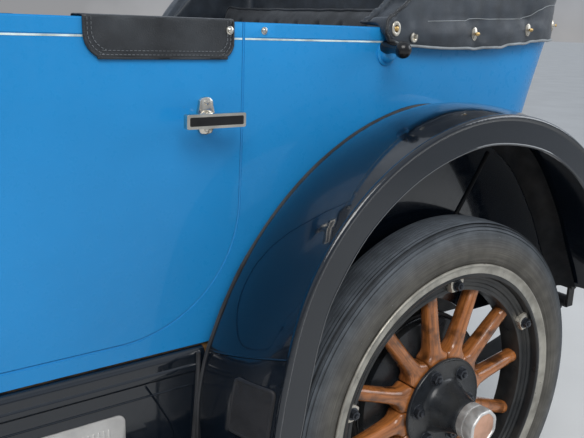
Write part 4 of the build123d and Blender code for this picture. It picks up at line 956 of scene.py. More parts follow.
def build_flaps():
    """A leather sheet over the top edge of each rear door, bound and sewn twice at its rim, with a snap."""
    for side_name, side in SIDES.items():
        node, body = f"door_rear_{side_name}", f"door_rear_{side_name}_body"

        def on(x, z, lift):
            point, normal = skin(node, x, min(z, DOOR_EDGE_Z), side)
            return Vector((point.x, point.y, z)) + normal * lift, normal

        columns, rows = 30, 12
        rings = []
        for i in range(columns + 1):
            x = FLAP_X[0] + (FLAP_X[1] - FLAP_X[0]) * i / columns
            z_low = flap_low(x)
            column = []
            for j in range(rows + 1):
                z = z_low + (1.2075 - z_low) * j / rows
                wave = 0.0009 * math.sin(x * 61
                                         + 1.3) * math.sin(z * 83) + 0.0006 * math.sin(x * 143 + z * 40)
                sag = 0.0026 + 0.0012 * math.exp(-((z - z_low) / 0.006) ** 2) + wave
                column.append(on(x, z, sag)[0])
            base = on(x, DOOR_EDGE_Z, 0.0)[0].y
            for a, out in ((30, 0.0024), (60, 0.0010), (90, -0.0012)):
                column.append(Vector((x + REAR_X, base + side * out,
                                      FLAP_TOP + 0.0024 * math.sin(math.radians(a)))))
            for inward in (0.008, 0.016, 0.024, 0.032, 0.0415):
                column.append(Vector((x + REAR_X, base - side * inward,
                                      1.2112 + 0.0004 * math.sin(x * 90 + inward * 300))))
            column.append(Vector((x + REAR_X, base - side * 0.0432, FLAP_TOP)))
            for down in (0.015, 0.030):
                column.append(Vector((x + REAR_X, base - side * 0.0436, FLAP_TOP - down)))
            rings.append(column)
        form = Form()
        form.rings(rings, loop=False)
        sheet = form.piece(f"flap_{side_name}", "leather_black", body, 60)
        thick = sheet.modifiers.new("thickness", "SOLIDIFY")
        thick.thickness, thick.offset = 0.0018, 0
        binding, thread = Form(), Form()
        rim = [on(x, z, 0.0036)[0] for x, z in flap_outline(0.0015)]
        binding.tube(smooth_line(rim, 4), 0.0022, 8, flat=0.8)
        binding.piece(f"flap_binding_{side_name}", "leather_black", body, 60)
        for inset in (0.0065, 0.0125):
            spots = [on(x, z, 0.0046) for x, z in flap_outline(inset)]
            points = smooth_line([p for p, _ in spots], 6)
            stitches(thread, points, [spots[0][1]] * len(points))
        sewn = thread.piece(f"flap_stitches_{side_name}", "thread_grey", body, 60)
        stud = Form()
        p, n = on(0.4965, 1.1940, 0.0044)
        snap(stud, side_place(p, side), 0.0068)
        fixed = stud.piece(f"flap_snap_{side_name}", "nickel", body, 30)
        stud = Form()
        p, n = skin("body_tub", 0.4270, 1.1950, side, 0.0008)
        snap(stud, side_place(p, side), 0.0064)
        stud.piece(f"body_snap_{side_name}", "nickel", "chassis", 30)


def snap(form, place, radius):
    """A press stud: base ring, groove and domed head."""
    form.slab(polygon(24, radius), place, -0.002, 0.0016, 0.0008, 2)
    form.slab(polygon(24, radius * 0.72), place, 0.0010, 0.0052, 0.0022, 4)
    form.slab(polygon(16, radius * 0.26), place, 0.0048, 0.0060, 0.0005, 2)


def outward(point, side):
    """A place on a side panel: u forward, v up, w out of the car."""
    return lambda p: Vector((point.x + p[0], point.y + side * p[2], point.z + p[1]))


def build_handles():
    """Plated lever handles with a black inlay, on waisted escutcheons."""
    for side_name, side in SIDES.items():
        for name, x0, *_ in DOORS:
            body = f"door_{name}_{side_name}_body"
            x = x0 + 0.073
            point, _ = skin(f"door_{name}_{side_name}", x, HANDLE_Z + 0.045, side)
            spot = outward(Vector((x + REAR_X, point.y, HANDLE_Z)), side)
            plate = Form()
            waist = [(0.0105, -0.0260), (0.0145, -0.0180), (0.0150, -0.0080), (0.0172, 0.0),
                     (0.0150, 0.0100), (0.0128, 0.0200),
                     (0.0120, 0.0270), (0.0070, 0.0320), (0.0, 0.0335)]
            outline = waist + [(-u, v) for u, v in reversed(waist[:-1])] + [(0.0, -0.0285)]
            plate.slab(outline, spot, -0.0005, 0.0068, 0.0016, 2)
            for v in (-0.0195, 0.0245):
                screw(plate, shifted(spot, 0, v, 0.0068), 0.0042)
            local = [(0.0125, 0.006), (0.0120, 0.010), (0.0104, 0.0125), (0.0098, 0.020), (0.0100, 0.034),
                     (0.0112, 0.040), (0.0112, 0.043)]
            turned_on(plate, local, spot, 24)
            plate.piece(f"handle_plate_{name}_{side_name}", "nickel", body, 30)
            bar = Form()
            across = shifted(spot, 0.006, 0, 0.047)
            bar.slab(round_rect(0.1075, 0.0232, 0.003), across, -0.0062, 0.0050, 0.0014, 2)
            bar.slab(round_rect(0.1075, 0.0232, 0.003), across, 0.0046, 0.0056, 0.0004, 1)
            bar.piece(f"handle_bar_{name}_{side_name}", "nickel", body, 30)
            inlay = Form()
            inlay.slab(round_rect(0.0975, 0.0142, 0.002), across, 0.0050, 0.0064, 0.0005, 1)
            inlay.piece(f"handle_inlay_{name}_{side_name}", "inlay_black", body, 30)


def build_knobs():
    """The hood's pivot on each rear quarter: painted boss, stem and black ball."""
    for side_name, side in SIDES.items():
        point, _ = skin("body_tub", 0.144, 1.160, side)
        spot = outward(point, side)
        boss = Form()
        boss_line = [(0.0235, -0.001), (0.0235, 0.0022), (0.0205, 0.0040), (0.0186, 0.0044), (0.0176, 0.0085),
                     (0.0150, 0.0125), (0.0105, 0.0145), (0.001, 0.0150)]
        turned_on(boss, boss_line, spot, 36)
        boss.piece(f"pivot_boss_{side_name}", "body_blue", "chassis", 40)
        end = at(0.168, point.y + side * 0.070, 1.169)
        start = at(0.151, point.y + side * 0.004, 1.171)
        ball = Form()
        line = [start.lerp(end, k / 10) for k in range(11)]
        ball.tube(line, [0.0125, 0.0125, 0.0115, 0.0100, 0.0092, 0.0090, 0.0090, 0.0094,
                         0.0100, 0.0100, 0.0090], 20)
        away = (end - start).normalized()
        place = basis(end, away.orthogonal(), away.cross(away.orthogonal()))
        turns = [math.pi * k / 16 for k in range(1, 16)]
        turned_on(ball, [(0.0158 * math.sin(a), -0.0142 * math.cos(a)) for a in turns], place, 28)
        ball.piece(f"pivot_knob_{side_name}", "inlay_black", "chassis", 40)


def fender_line(which, off=0.0, start=0, end=None):
    """Side view (x, z) of the rear fender's inner (1) or outer (2) edge, as a smooth line."""
    cx, cz = FENDER_CENTRE
    points = []
    for row in FENDER[start:end]:
        a = math.radians(row[0])
        points.append(Vector((cx + (row[which] + off) * math.cos(a), 0,
                              cz + (row[which] + off) * math.sin(a))))
    return [(p.x, p.z) for p in smooth_line(points, 6)]


def build_fender_trim():
    """Welt between fender and body, wired lower edge, cove and folds in the well, pad and seam at the foot."""
    for side_name, side in SIDES.items():
        welt = Form()
        welt.tube([at(x, side * (BODY_Y + 0.0035), z) for x, z in fender_line(1, 0.0012)], 0.0034, 8)
        welt.piece(f"fender_welt_{side_name}", "welt_black", "chassis")
        wire = Form()
        wire.tube([at(x, side * (FENDER_SIDE_Y - 0.0030), z) for x, z in fender_line(2, -SKIRT)], 0.0036, 8)
        wire.piece(f"fender_wire_{side_name}", "fender_black", "chassis")
        well = Form()
        rings = []
        inside = fender_line(1, -0.0045, 4)
        outside = fender_line(2, -0.0090, 4)
        for (ix, iz), (ox, oz) in zip(inside, outside):
            cx, cz = FENDER_CENTRE
            ring = []
            for k in range(7):
                a = math.radians(90 * k / 6)
                y = BODY_Y + 0.0045 + 0.040 * (1 - math.sin(a))
                drop = 0.040 * (1 - math.cos(a))
                s = (y - BODY_Y) / 0.2
                rx, rz = ix + (ox - ix) * s - cx, iz + (oz - iz) * s - cz
                far = math.hypot(rx, rz)
                lift = -0.0008 + 0.008 * math.sin(math.pi * min(s, 1.0))
                q = (far - drop + lift) / far
                ring.append(at(cx + rx * q, side * y, cz + rz * q))
            rings.append(ring)
        well.rings(rings, loop=False)
        well.piece(f"well_cove_{side_name}", "underseal", "chassis", 60)
        fold = Form()
        for points in (((-0.183, 0.946), (-0.140, 0.880), (-0.093, 0.811)),
                       ((0.205, 0.930), (0.225, 0.850), (0.240, 0.760))):
            fold.tube(smooth_line([at(x, side * 0.6448, z) for x, z in points], 6), 0.004, 8)
        fold.piece(f"well_fold_{side_name}", "underseal", "chassis", 60)

        def ahead(y, z):
            point, normal = hit("fenders_rear", at(1.2, side * y, z), (-1, 0, 0))
            if point is None:
                return at(0.536, side * y, z), Vector((1, 0, 0))
            return point, normal if normal.x > 0 else -normal

        seam = Form()
        seam.tube([ahead(0.652 + (0.832 - 0.652) * k / 10, 0.642 + 0.044 * k / 10)[0]
                   for k in range(11)], 0.0022, 8)
        seam.piece(f"fender_seam_{side_name}", "fender_black", "chassis")
        pad = Form()
        outline = moved(finer(round_rect(0.082, 0.096, 0.010), 0.012), 0.785, 0.584)
        patch(pad, outline, ahead, [(1.0, -0.002), (1.0, 0.0034), (0.98, 0.0046), (0.92, 0.0050),
                                    (0.88, 0.0038), (0.5, 0.0040), (0.1, 0.0040)])
        pad.piece(f"fender_pad_{side_name}", "pad_rubber", "chassis", 30)


def build_apron_trim():
    """Swage, step plates and joint welt of the splash aprons; ribbed mats and edges of the boards."""
    x0, x1, y1, top = BOARD
    for side_name, side in SIDES.items():
        swage = Form()
        rings = []
        for i in range(41):
            x = x0 + 0.012 + (x1 - x0 - 0.02) * i / 40
            profile = [(0.0, 0.5985), (0.0020, 0.6000), (0.0030, 0.6030), (0.0030, 0.6110),
                       (0.0020, 0.6140), (0.0, 0.6155)]
            rings.append([at(x, side * (APRON_Y - 0.0002 + y), z) for y, z in profile])
        swage.rings(rings, loop=False)
        for z in (0.5755, 0.4280):
            swage.tube([at(x, side * (APRON_Y + 0.0004), z) for x in (x0 + 0.012, 1.2, x1 - 0.01)], 0.0016, 8)
        swage.piece(f"apron_swage_{side_name}", "fender_black", "chassis")
        welt = Form()
        welt.tube([at(0.5490 + 0.017 * (k / 12) ** 1.6, side * (APRON_Y + 0.0024), 0.636 - 0.236 * k / 12)
                   for k in range(13)], 0.0040, 8)
        welt.piece(f"apron_welt_{side_name}", "welt_black", "chassis")
        ridge = Form()
        fold = smooth_line([at(x, side * (APRON_Y + 0.0002), z)
                            for x, z in ((0.6510, 0.5960), (0.6240, 0.5480), (0.6030, 0.5060),
                                         (0.5985, 0.4700), (0.6000, 0.4280))], 8)
        ridge.tube(fold, 0.0019, 8)
        ridge.piece(f"apron_ridge_{side_name}", "fender_black", "chassis")
        plates, ribs = Form(), Form()
        for u0, u1 in ((0.690, 1.010), (1.250, 1.570)):
            cu, cv = (u0 + u1) / 2, 0.506
            spot = outward(at(cu, side * APRON_Y, cv), side)
            plates.slab(round_rect(u1 - u0, 0.100, 0.014), spot, -0.0005, 0.0030, 0.0010, 2)
            count = 30
            for k in range(count):
                u = (u1 - u0 - 0.060) * (k / (count - 1) - 0.5)
                ribs.slab(moved(round_rect(0.0034, 0.060, 0.0016, 3), u, 0), spot, 0.0025, 0.0040, 0.0010, 2)
        plates.piece(f"step_plates_{side_name}", "plate_aluminium", "chassis", 30)
        ribs.piece(f"step_plate_ribs_{side_name}", "plate_aluminium", "chassis", 60)
        mat = Form()
        profile, n = [], 26
        pitch = (MAT_Y[1] - MAT_Y[0] - 0.006) / n
        for k in range(n):
            y = MAT_Y[0] + 0.003 + pitch * k
            profile += [(y, 0.0044), (y + 0.0012, 0.0064), (y + 0.0046, 0.0064), (y + 0.0058, 0.0044)]
        ends = (MAT_X[0] - 0.0015, MAT_X[1] + 0.0015)
        mat.rings([[at(x, side * y, top + z) for y, z in [(MAT_Y[0] - 0.001, -0.001)] + profile
                    + [(MAT_Y[1] + 0.001, -0.001)]] for x in ends], caps=True)
        mat.piece(f"board_mat_{side_name}", "pad_rubber", "chassis", 30)
        edge = Form()
        line = [(y1 - 0.0215, top), (y1 - 0.0215, top + 0.0036), (y1 - 0.0120, top + 0.0042),
                (y1 - 0.0020, top + 0.0038), (y1 + 0.0014, top + 0.0020),
                (y1 + 0.0022, top - 0.004), (y1 + 0.0022, top - 0.020), (y1 + 0.0008, top - 0.0245),
                (y1 - 0.001, top - 0.0245), (y1 - 0.001, top)]
        edge.rings([[at(x, side * y, z) for y, z in line] for x in (x0 + 0.030, 1.3, x1 - 0.010)], caps=True)
        edge.piece(f"board_edge_{side_name}", "plate_aluminium", "chassis", 30)


# Soft goods
# Boot over the folded top: y of its sides, x of its back, and its rear corners' radius
BOOT_SIDE, BOOT_BACK, BOOT_CORNER = 0.666, -0.482, 0.210
# Boot's lower edge, its front edge and its fasteners, as (x, z)
BOOT_LOW = (
    (0.160, 1.182), (0.120, 1.172), (0.060, 1.1672), (0.0, 1.165), (-0.080, 1.1668),
    (-0.154, 1.171), (-0.254, 1.182),
    (-0.340, 1.1866), (-0.420, 1.190), (-0.500, 1.192),
)
BOOT_FRONT = ((0.060, 1.3150), (0.090, 1.290), (0.118, 1.269), (0.140, 1.248), (0.162, 1.228), (0.174, 1.208),
              (0.172, 1.193), (0.160, 1.182), (0.142, 1.176), (0.120, 1.172))
BOOT_BUTTONS = ((-0.083, 1.201), (-0.252, 1.213))
BOOT_RING = (0.141, 1.206)
BOOT_HOOK = (0.097, 1.192)
# Section (r, w) of the oval ring
EYELET = (
    (0.0125, -0.001), (0.0128, 0.0012), (0.0118, 0.0024), (0.0090, 0.0030),
    (0.0066, 0.0022), (0.0060, 0.0008),
    (0.0060, -0.001),
)
# Seats: name, x where the cushion starts, half width, backrest's middle height and length
SEATS = (("front", 1.010, 0.555, 1.030, 0.312), ("rear", -0.120, 0.566, 1.086, 0.372))
LEAN = math.radians(14)


def apply_modifiers(obj):
    """Replaces the object's mesh by what its modifiers make of it."""
    graph = bpy.context.evaluated_depsgraph_get()
    mesh = bpy.data.meshes.new_from_object(obj.evaluated_get(graph))
    obj.modifiers.clear()
    obj.data = mesh


def remeshed(name, source, voxel):
    """A copy of source's mesh as even quads."""
    obj = new_object(name, source)
    mod = obj.modifiers.new("remesh", "REMESH")
    mod.mode, mod.voxel_size = "VOXEL", voxel
    apply_modifiers(obj)
    obj.data.name = name
    return obj


def rounded_block(size, radius):
    """A block with rounded edges about the origin."""
    b = bmesh.new()
    bmesh.ops.create_cube(b, size=1.0)
    bmesh.ops.scale(b, vec=size, verts=b.verts)
    bmesh.ops.bevel(b, geom=b.edges[:], offset=radius, segments=5, profile=0.5, affect="EDGES")
    mesh = bpy.data.meshes.new("block")
    b.to_mesh(mesh)
    b.free()
    return mesh


def push(mesh, offset):
    """Moves each point along its normal by offset(point, normal)."""
    spots = [(v.co.copy(), v.normal.copy()) for v in mesh.vertices]
    mesh.vertices.foreach_set("co", [c for co, normal in spots for c in co + normal * offset(co, normal)])
    mesh.update()


def swell(obj, pressure, cap, shrink):
    """Cloth filled with air: starts a little smaller and swells without gravity, by cap at most.
    """
    mesh = obj.data
    push(mesh, lambda co, normal: -shrink)
    start = [v.co.copy() for v in mesh.vertices]
    scene = bpy.context.scene
    cloth = obj.modifiers.new("cloth", "CLOTH")
    cloth.point_cache.frame_start, cloth.point_cache.frame_end = 1, 20
    s = cloth.settings
    s.quality = 4
    s.mass = 0.35
    s.tension_stiffness = s.compression_stiffness = 12
    s.shear_stiffness = 6
    s.bending_stiffness = 1.2
    s.use_pressure = True
    s.uniform_pressure_force = pressure
    s.effector_weights.gravity = 0
    for number in range(1, 21):
        scene.frame_set(number)
    graph = bpy.context.evaluated_depsgraph_get()
    moved = [v.co.copy() for v in obj.evaluated_get(graph).data.vertices]
    obj.modifiers.remove(cloth)
    scene.frame_set(1)
    ends = []
    for a, b in zip(start, moved):
        step = b - a
        if step.length > cap:
            step *= cap / step.length
        ends += [*(a + step)]
    mesh.vertices.foreach_set("co", ends)
    mesh.update()


def relax(mesh, times, amount=0.5):
    """Laplacian smoothing."""
    b = bmesh.new()
    b.from_mesh(mesh)
    for _ in range(times):
        bmesh.ops.smooth_vert(b, verts=b.verts, factor=amount, use_axis_x=True,
                              use_axis_y=True, use_axis_z=True)
    b.to_mesh(mesh)
    b.free()
    mesh.update()


def subdivided(obj):
    """One level of smooth subdivision."""
    mod = obj.modifiers.new("smooth", "SUBSURF")
    mod.levels = mod.render_levels = 1
    apply_modifiers(obj)


def finished(obj, material, body):
    """Gives a soft piece its shading, material and body."""
    obj.data.shade_smooth()
    obj.data.materials.clear()
    obj.data.materials.append(MATS[material])
    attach(obj, body)


def tree_of(obj):
    """The object's surface, for rays and nearest points."""
    mesh = obj.data
    return BVHTree.FromPolygons([v.co for v in mesh.vertices], [p.vertices for p in mesh.polygons])


def cord_on(tree, points, radius, form, steps=4, sides=8, lift=0.4, closed=False):
    """A piping cord laid on a soft surface."""
    line = []
    for p in smooth_line(points, steps, closed):
        spot, normal, _, _ = tree.find_nearest(p)
        line.append(spot + normal * radius * lift)
    form.tube(line, radius, sides, closed=closed)


def pleated_cushion(name, node, centre, width, depth, thick, across, up, front_roll):
    """A seat cushion or back in sewn pleats, piped at its edge.

    across is the direction of its depth, and up that of its face.
    """
    half_w, half_d, half_t = width / 2, depth / 2, thick / 2
    obj = remeshed(name, rounded_block((depth, width, thick), 0.030), 0.0125)
    swell(obj, 3.0, 0.012, 0.0085)
    subdivided(obj)
    pitch = width / round(width / 0.098)

    def sewn(co, normal):
        x, y, z = co
        face = max(0.0, min(1.0, (z + half_t * 0.1) / (half_t * 0.6)))
        inside = max(0.0, min(1.0, (half_w - 0.035 - abs(y)) / 0.02))
        seam = (y / pitch + 0.5) % 1.0 - 0.5
        pleat = math.exp(-((seam * pitch) / 0.0085) ** 2)
        plain = max(0.0, min(1.0, (half_d - (0.085 if front_roll else 0.055) - abs(x)) / 0.02))
        deep = pleat * 0.0115 * inside * face * plain
        roll = math.exp(-((x - half_d + 0.085) / 0.008) ** 2) * 0.010 * face * inside if front_roll else 0.0
        crease = 0.0016 * noise.noise(Vector((x * 19, y * 23,
                                              z * 17))) + 0.0022 * noise.noise(Vector((x * 7, y * 6, 3.1)))
        return crease - deep - roll

    push(obj.data, sewn)
    matrix = axes_matrix(across, (0, 1, 0), up, centre)
    local = tree_of(obj)
    piping = Form()
    ring = [Vector((u, v, half_t - 0.012)) for u, v in round_rect(depth - 0.014, width - 0.014, 0.034, 4)]
    cord_on(local, finer_loop(ring, 0.05), 0.0042, piping, 2, closed=True)
    piping.verts = [matrix @ v for v in piping.verts]
    obj.data.transform(matrix)
    finished(obj, "leather_black", "chassis")
    piping.piece(f"{name}_piping", "leather_black", "chassis", 60)
    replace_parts(obj, node)


def finer_loop(points, step):
    """The closed line through 3-D points, with points no further apart than step."""
    out = []
    for a, b in zip(points, points[1:] + points[:1]):
        n = max(1, math.ceil((b - a).length / step))
        out += [a.lerp(b, k / n) for k in range(n)]
    return out


def build_seats():
    """Cushion and backrest of both seats."""
    for name, x, half, mid, length in SEATS:
        width = 2 * half - 0.010
        pleated_cushion(f"cushion_{name}", f"seat_{name}", at(x + 0.235, 0, 0.875), width, 0.462, 0.146,
                        (1, 0, 0), (0, 0, 1), True)
        up = (math.cos(LEAN), 0, math.sin(LEAN))
        along = (math.sin(LEAN), 0, -math.cos(LEAN))
        pleated_cushion(f"backrest_{name}", f"seat_{name}", at(x - 0.095, 0, mid), width, length - 0.008,
                        0.124, along, up, False)


def boot_path(x, side):
    """(x, y) on the boot's outer side; past its rear corner x goes on as length round the corner."""
    centre = BOOT_BACK + BOOT_CORNER
    if x >= centre:
        return x, side * BOOT_SIDE
    turn = (centre - x) / BOOT_CORNER
    if turn < math.pi / 2:
        return centre - BOOT_CORNER * math.sin(turn), side * (BOOT_SIDE - BOOT_CORNER
                                                              + BOOT_CORNER * math.cos(turn))
    rest = (turn - math.pi / 2) * BOOT_CORNER
    return BOOT_BACK, side * (BOOT_SIDE - BOOT_CORNER - rest)


def boot_low(x):
    """Height of the boot's lower edge."""
    if x <= BOOT_LOW[-1][0]:
        return BOOT_LOW[-1][1]
    for (xa, za), (xb, zb) in zip(BOOT_LOW, BOOT_LOW[1:]):
        if x >= xb:
            return za + (zb - za) * (xa - x) / (xa - xb)
    return BOOT_LOW[-1][1]


def boot_seam(x):
    """Height of the seam above the lower edge: nearly level, then rising towards the rear corner."""
    rise = min(1.0, max(0.0, (-0.225 - x) / 0.11))
    return 1.2254 - 0.050 * x + 0.026 * rise * rise * (3 - 2 * rise)


def gauss(a, b, width):
    """1 where a meets b, falling off over width."""
    return math.exp(-((a - b) / width) ** 2)


def build_boot():
    """The folded hood under its cloth boot: soft folds, pulled in at its fasteners, with a piped lower edge."""
    obj = remeshed("boot_cover", NODES["top_boot"].data.copy(), 0.0085)
    relax(obj.data, 3)
    pulls = [(BOOT_RING, 0.0035, 0.020), (BOOT_HOOK, 0.0030, 0.020), (BOOT_BUTTONS[0], 0.0060, 0.034),
             (BOOT_BUTTONS[1], 0.0055, 0.034)]

    def shaped(co, normal):
        x, y, z = co.x - REAR_X, co.y, co.z
        flat = abs(normal.z) < 0.75
        outer = (abs(y) > 0.60 or x < -0.40) and flat
        move = 0.0
        broad = noise.noise(Vector((x * 4.2, y * 4.2, z * 6.5))) * 0.008
        fine = noise.noise(Vector((x * 13 + 40, y * 13, z * 17))) * 0.0022
        if outer:
            edge = min(1.0, max(0.0, (z - boot_low(x) + 0.002) / 0.05))
            move += (broad + fine) * edge - 0.003
            move += 0.0055 * gauss(z, boot_low(x) + 0.030, 0.016) * (0.6 + 0.4 * math.sin(x * 23 + 0.6))
            for (bx, bz), deep, wide in pulls:
                far = math.hypot(x - bx, z - bz)
                spin = math.atan2(z - bz, x - bx)
                move -= deep * math.exp(-(far / wide) ** 2)
                move += 0.0016 * math.cos(5 * spin + bx * 9) * math.exp(-((far - wide) / (wide * 0.8)) ** 2)
            move -= 0.0022 * gauss(z, boot_seam(x), 0.0055) * (x < 0.06)
        elif normal.z > 0.4:
            ridge = math.sin(z * 9 + x * 26 + 5 * noise.noise(Vector((x * 3, y * 2.2, 0))))
            move += 0.0075 * ridge * 0.8 + broad * 1.3 + fine - 0.010
        else:
            move += fine - 0.002
        return move

    push(obj.data, shaped)
    relax(obj.data, 1, 0.4)
    tree = tree_of(obj)
    finished(obj, "boot_cloth", "chassis")
    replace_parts(obj, "top_boot")

    piping, binding, thread, seam = Form(), Form(), Form(), Form()
    reach = BOOT_SIDE - BOOT_CORNER
    quarter = BOOT_CORNER * math.pi / 2
    last = BOOT_BACK + BOOT_CORNER - quarter - reach
    xs = [0.155 + (last - 0.155) * k / 60 for k in range(61)]
    left = [at(*boot_path(x, 1), boot_low(x) + 0.0012) for x in xs]
    right = [at(*boot_path(x, -1), boot_low(x) + 0.0012) for x in reversed(xs) if x < -0.012]
    rim = [spot + normal * 0.0008 for spot, normal, _, _ in map(tree.find_nearest, left + right[1:])]
    piping.tube(smooth_line(rim, 3), 0.0030, 8)
    piping.piece("boot_piping", "piping_grey", "chassis", 60)
    front = [at(x, BOOT_SIDE - 0.001, z) for x, z in BOOT_FRONT]
    cord_on(tree, front, 0.0036, binding, 5, lift=0.3)
    binding.piece("boot_binding", "leather_black", "chassis", 60)
    for inset in (0.009, 0.015):
        points, normals = [], []
        for x, z in BOOT_FRONT[:-2]:
            toward = Vector((0.02 - x, 0, 1.235 - z)).normalized() * inset
            spot, normal = hit_tree(tree, at(x + toward.x, 0.9, z + toward.z), (0, -1, 0))
            if spot is not None:
                points.append(spot + normal * 0.0004)
                normals.append(normal)
        line = smooth_line(points, 5)
        many = [normals[min(int(k / 5), len(normals) - 1)] for k in range(len(line))]
        stitches(thread, line, many, 0.0042, 0.0024, 0.0006)
    for side in (1, -1):
        points = []
        for k in range(50):
            x = (0.060 if side > 0 else -0.06) - 0.60 * k / 49
            px, py = boot_path(x, side)
            spot, normal, _, _ = tree.find_nearest(at(px, py, boot_seam(x)))
            points.append(spot + normal * 0.0004)
        seam.tube(points, 0.0009, 6)
    seam.piece("boot_seam", "piping_grey", "chassis", 60)
    thread.piece("boot_stitches", "thread_grey", "chassis", 60)
    build_boot_fasteners(tree)


def hit_tree(tree, origin, direction):
    """(point, normal towards the ray) where a ray meets the tree."""
    spot, normal, _, _ = tree.ray_cast(Vector(origin), Vector(direction).normalized())
    if spot is None:
        return None, None
    if normal.dot(Vector(direction)) > 0:
        normal = -normal
    return spot, normal


def build_boot_fasteners(tree):
    """Turn buttons, ring and hook along the boot's lower edge."""
    metal, brass = Form(), Form()

    def on(x, z, side):
        px, py = boot_path(x, side)
        turn = max(0.0, (BOOT_BACK + BOOT_CORNER - x) / BOOT_CORNER)
        out = Vector((-math.sin(turn), side * math.cos(turn), 0))
        spot, normal = hit_tree(tree, at(px, py, z) + out * 0.2, -out)
        if spot is None:
            spot, normal = at(px, py, z), out
        flat = (normal * 0.5 + out * 0.5).normalized()
        return basis(spot, flat.cross(Vector((0, 0, 1))) * -1, Vector((0, 0, 1)) - flat * flat.z)

    def turn_button(place):
        metal.slab(oval(28, 0.0085, 0.0135), place, -0.002, 0.0016, 0.0007, 2)
        metal.slab(oval(24, 0.0060, 0.0105), place, 0.0012, 0.0028, 0.0006, 2)
        metal.slab(oval(12, 0.0022, 0.0022), place, 0.002, 0.0075, 0.0004, 1)
        brass.slab(oval(18, 0.0072, 0.0036), place, 0.0070, 0.0096, 0.0009, 2)

    for side in (1, -1):
        for x, z in BOOT_BUTTONS + ((-0.385, 1.226),):
            turn_button(on(x, z, side))
    for y in (-0.25, 0.0, 0.25):
        x = BOOT_BACK + BOOT_CORNER - BOOT_CORNER * math.pi / 2 - (BOOT_SIDE - BOOT_CORNER - y)
        turn_button(on(x, 1.226, 1))
    place = on(*BOOT_RING, 1)
    rings = []
    turns = [2 * math.pi * k / 36 for k in range(36)]
    for r, w in EYELET:
        rings.append([place((0.86 * r * math.cos(t), 1.12 * r * math.sin(t), w)) for t in turns])
    metal.rings(rings, wrap=True)
    brass.slab(polygon(20, 0.0052), place, -0.0005, 0.0040, 0.0024, 3)
    place = on(*BOOT_HOOK, 1)
    hook = [(0.0062 * math.cos(a), 0.0078 * math.sin(a) - 0.001, 0.0030)
            for a in (math.radians(-235 + 20 * k) for k in range(15))]
    metal.tube([place(p) for p in hook], 0.0026, 10)
    metal.slab([(0.62 * u, v) for u, v in polygon(20, 0.0080)], place, -0.002, 0.0010, 0.0004, 1)
    metal.piece("boot_fasteners", "bead_steel", "chassis", 30)
    brass.piece("boot_fastener_centres", "brass", "chassis", 30)


# Hood, radiator, lamps and windscreen
# Hinge line along the hood's top, from the cowl to the radiator, as (x, z)
HINGE_LINE = ((2.120, 1.2265), (2.868, 1.1765))
CORE_FRONT = 2.952
# Louvres of each hood half: x of the first, pitch, number, lowest and highest z
LOUVRE_X, LOUVRE_PITCH, LOUVRES, LOUVRE_LOW, LOUVRE_TOP = 2.245, 0.031, 16, 0.775, 0.995
LAMP_X, LAMP_Y, LAMP_Z = 3.010, 0.420, 0.985
LENS_R = 0.1063
SCREEN_X, SCREEN_HALF = 1.830, 0.520
SCREEN_LOW, SCREEN_TOP, BRACKET_Z = 1.262, 1.765, 1.115
# Outline of one wing of a wing nut
WING = ((0, -0.007), (0.012, -0.002), (0.020, 0.008), (0.014, 0.012), (0.004, 0.006))
WHEEL_AT, BOX_AT = (1.450, 0.310, 1.236), (2.330, 0.310, 0.622)
STEERING_R = 0.205
DASH_X, DASH_Z = 1.770, 1.115
REAR_SPRING_Y, FRONT_SPRING_Y = 0.545, 0.360


def disc_place(origin, axis):
    """Local x, y across and z along axis."""
    axis = Vector(axis).normalized()
    side = Vector((0, 1, 0)) if abs(axis.y) < 0.9 else Vector((1, 0, 0))
    return basis(origin, side, axis.cross(side))


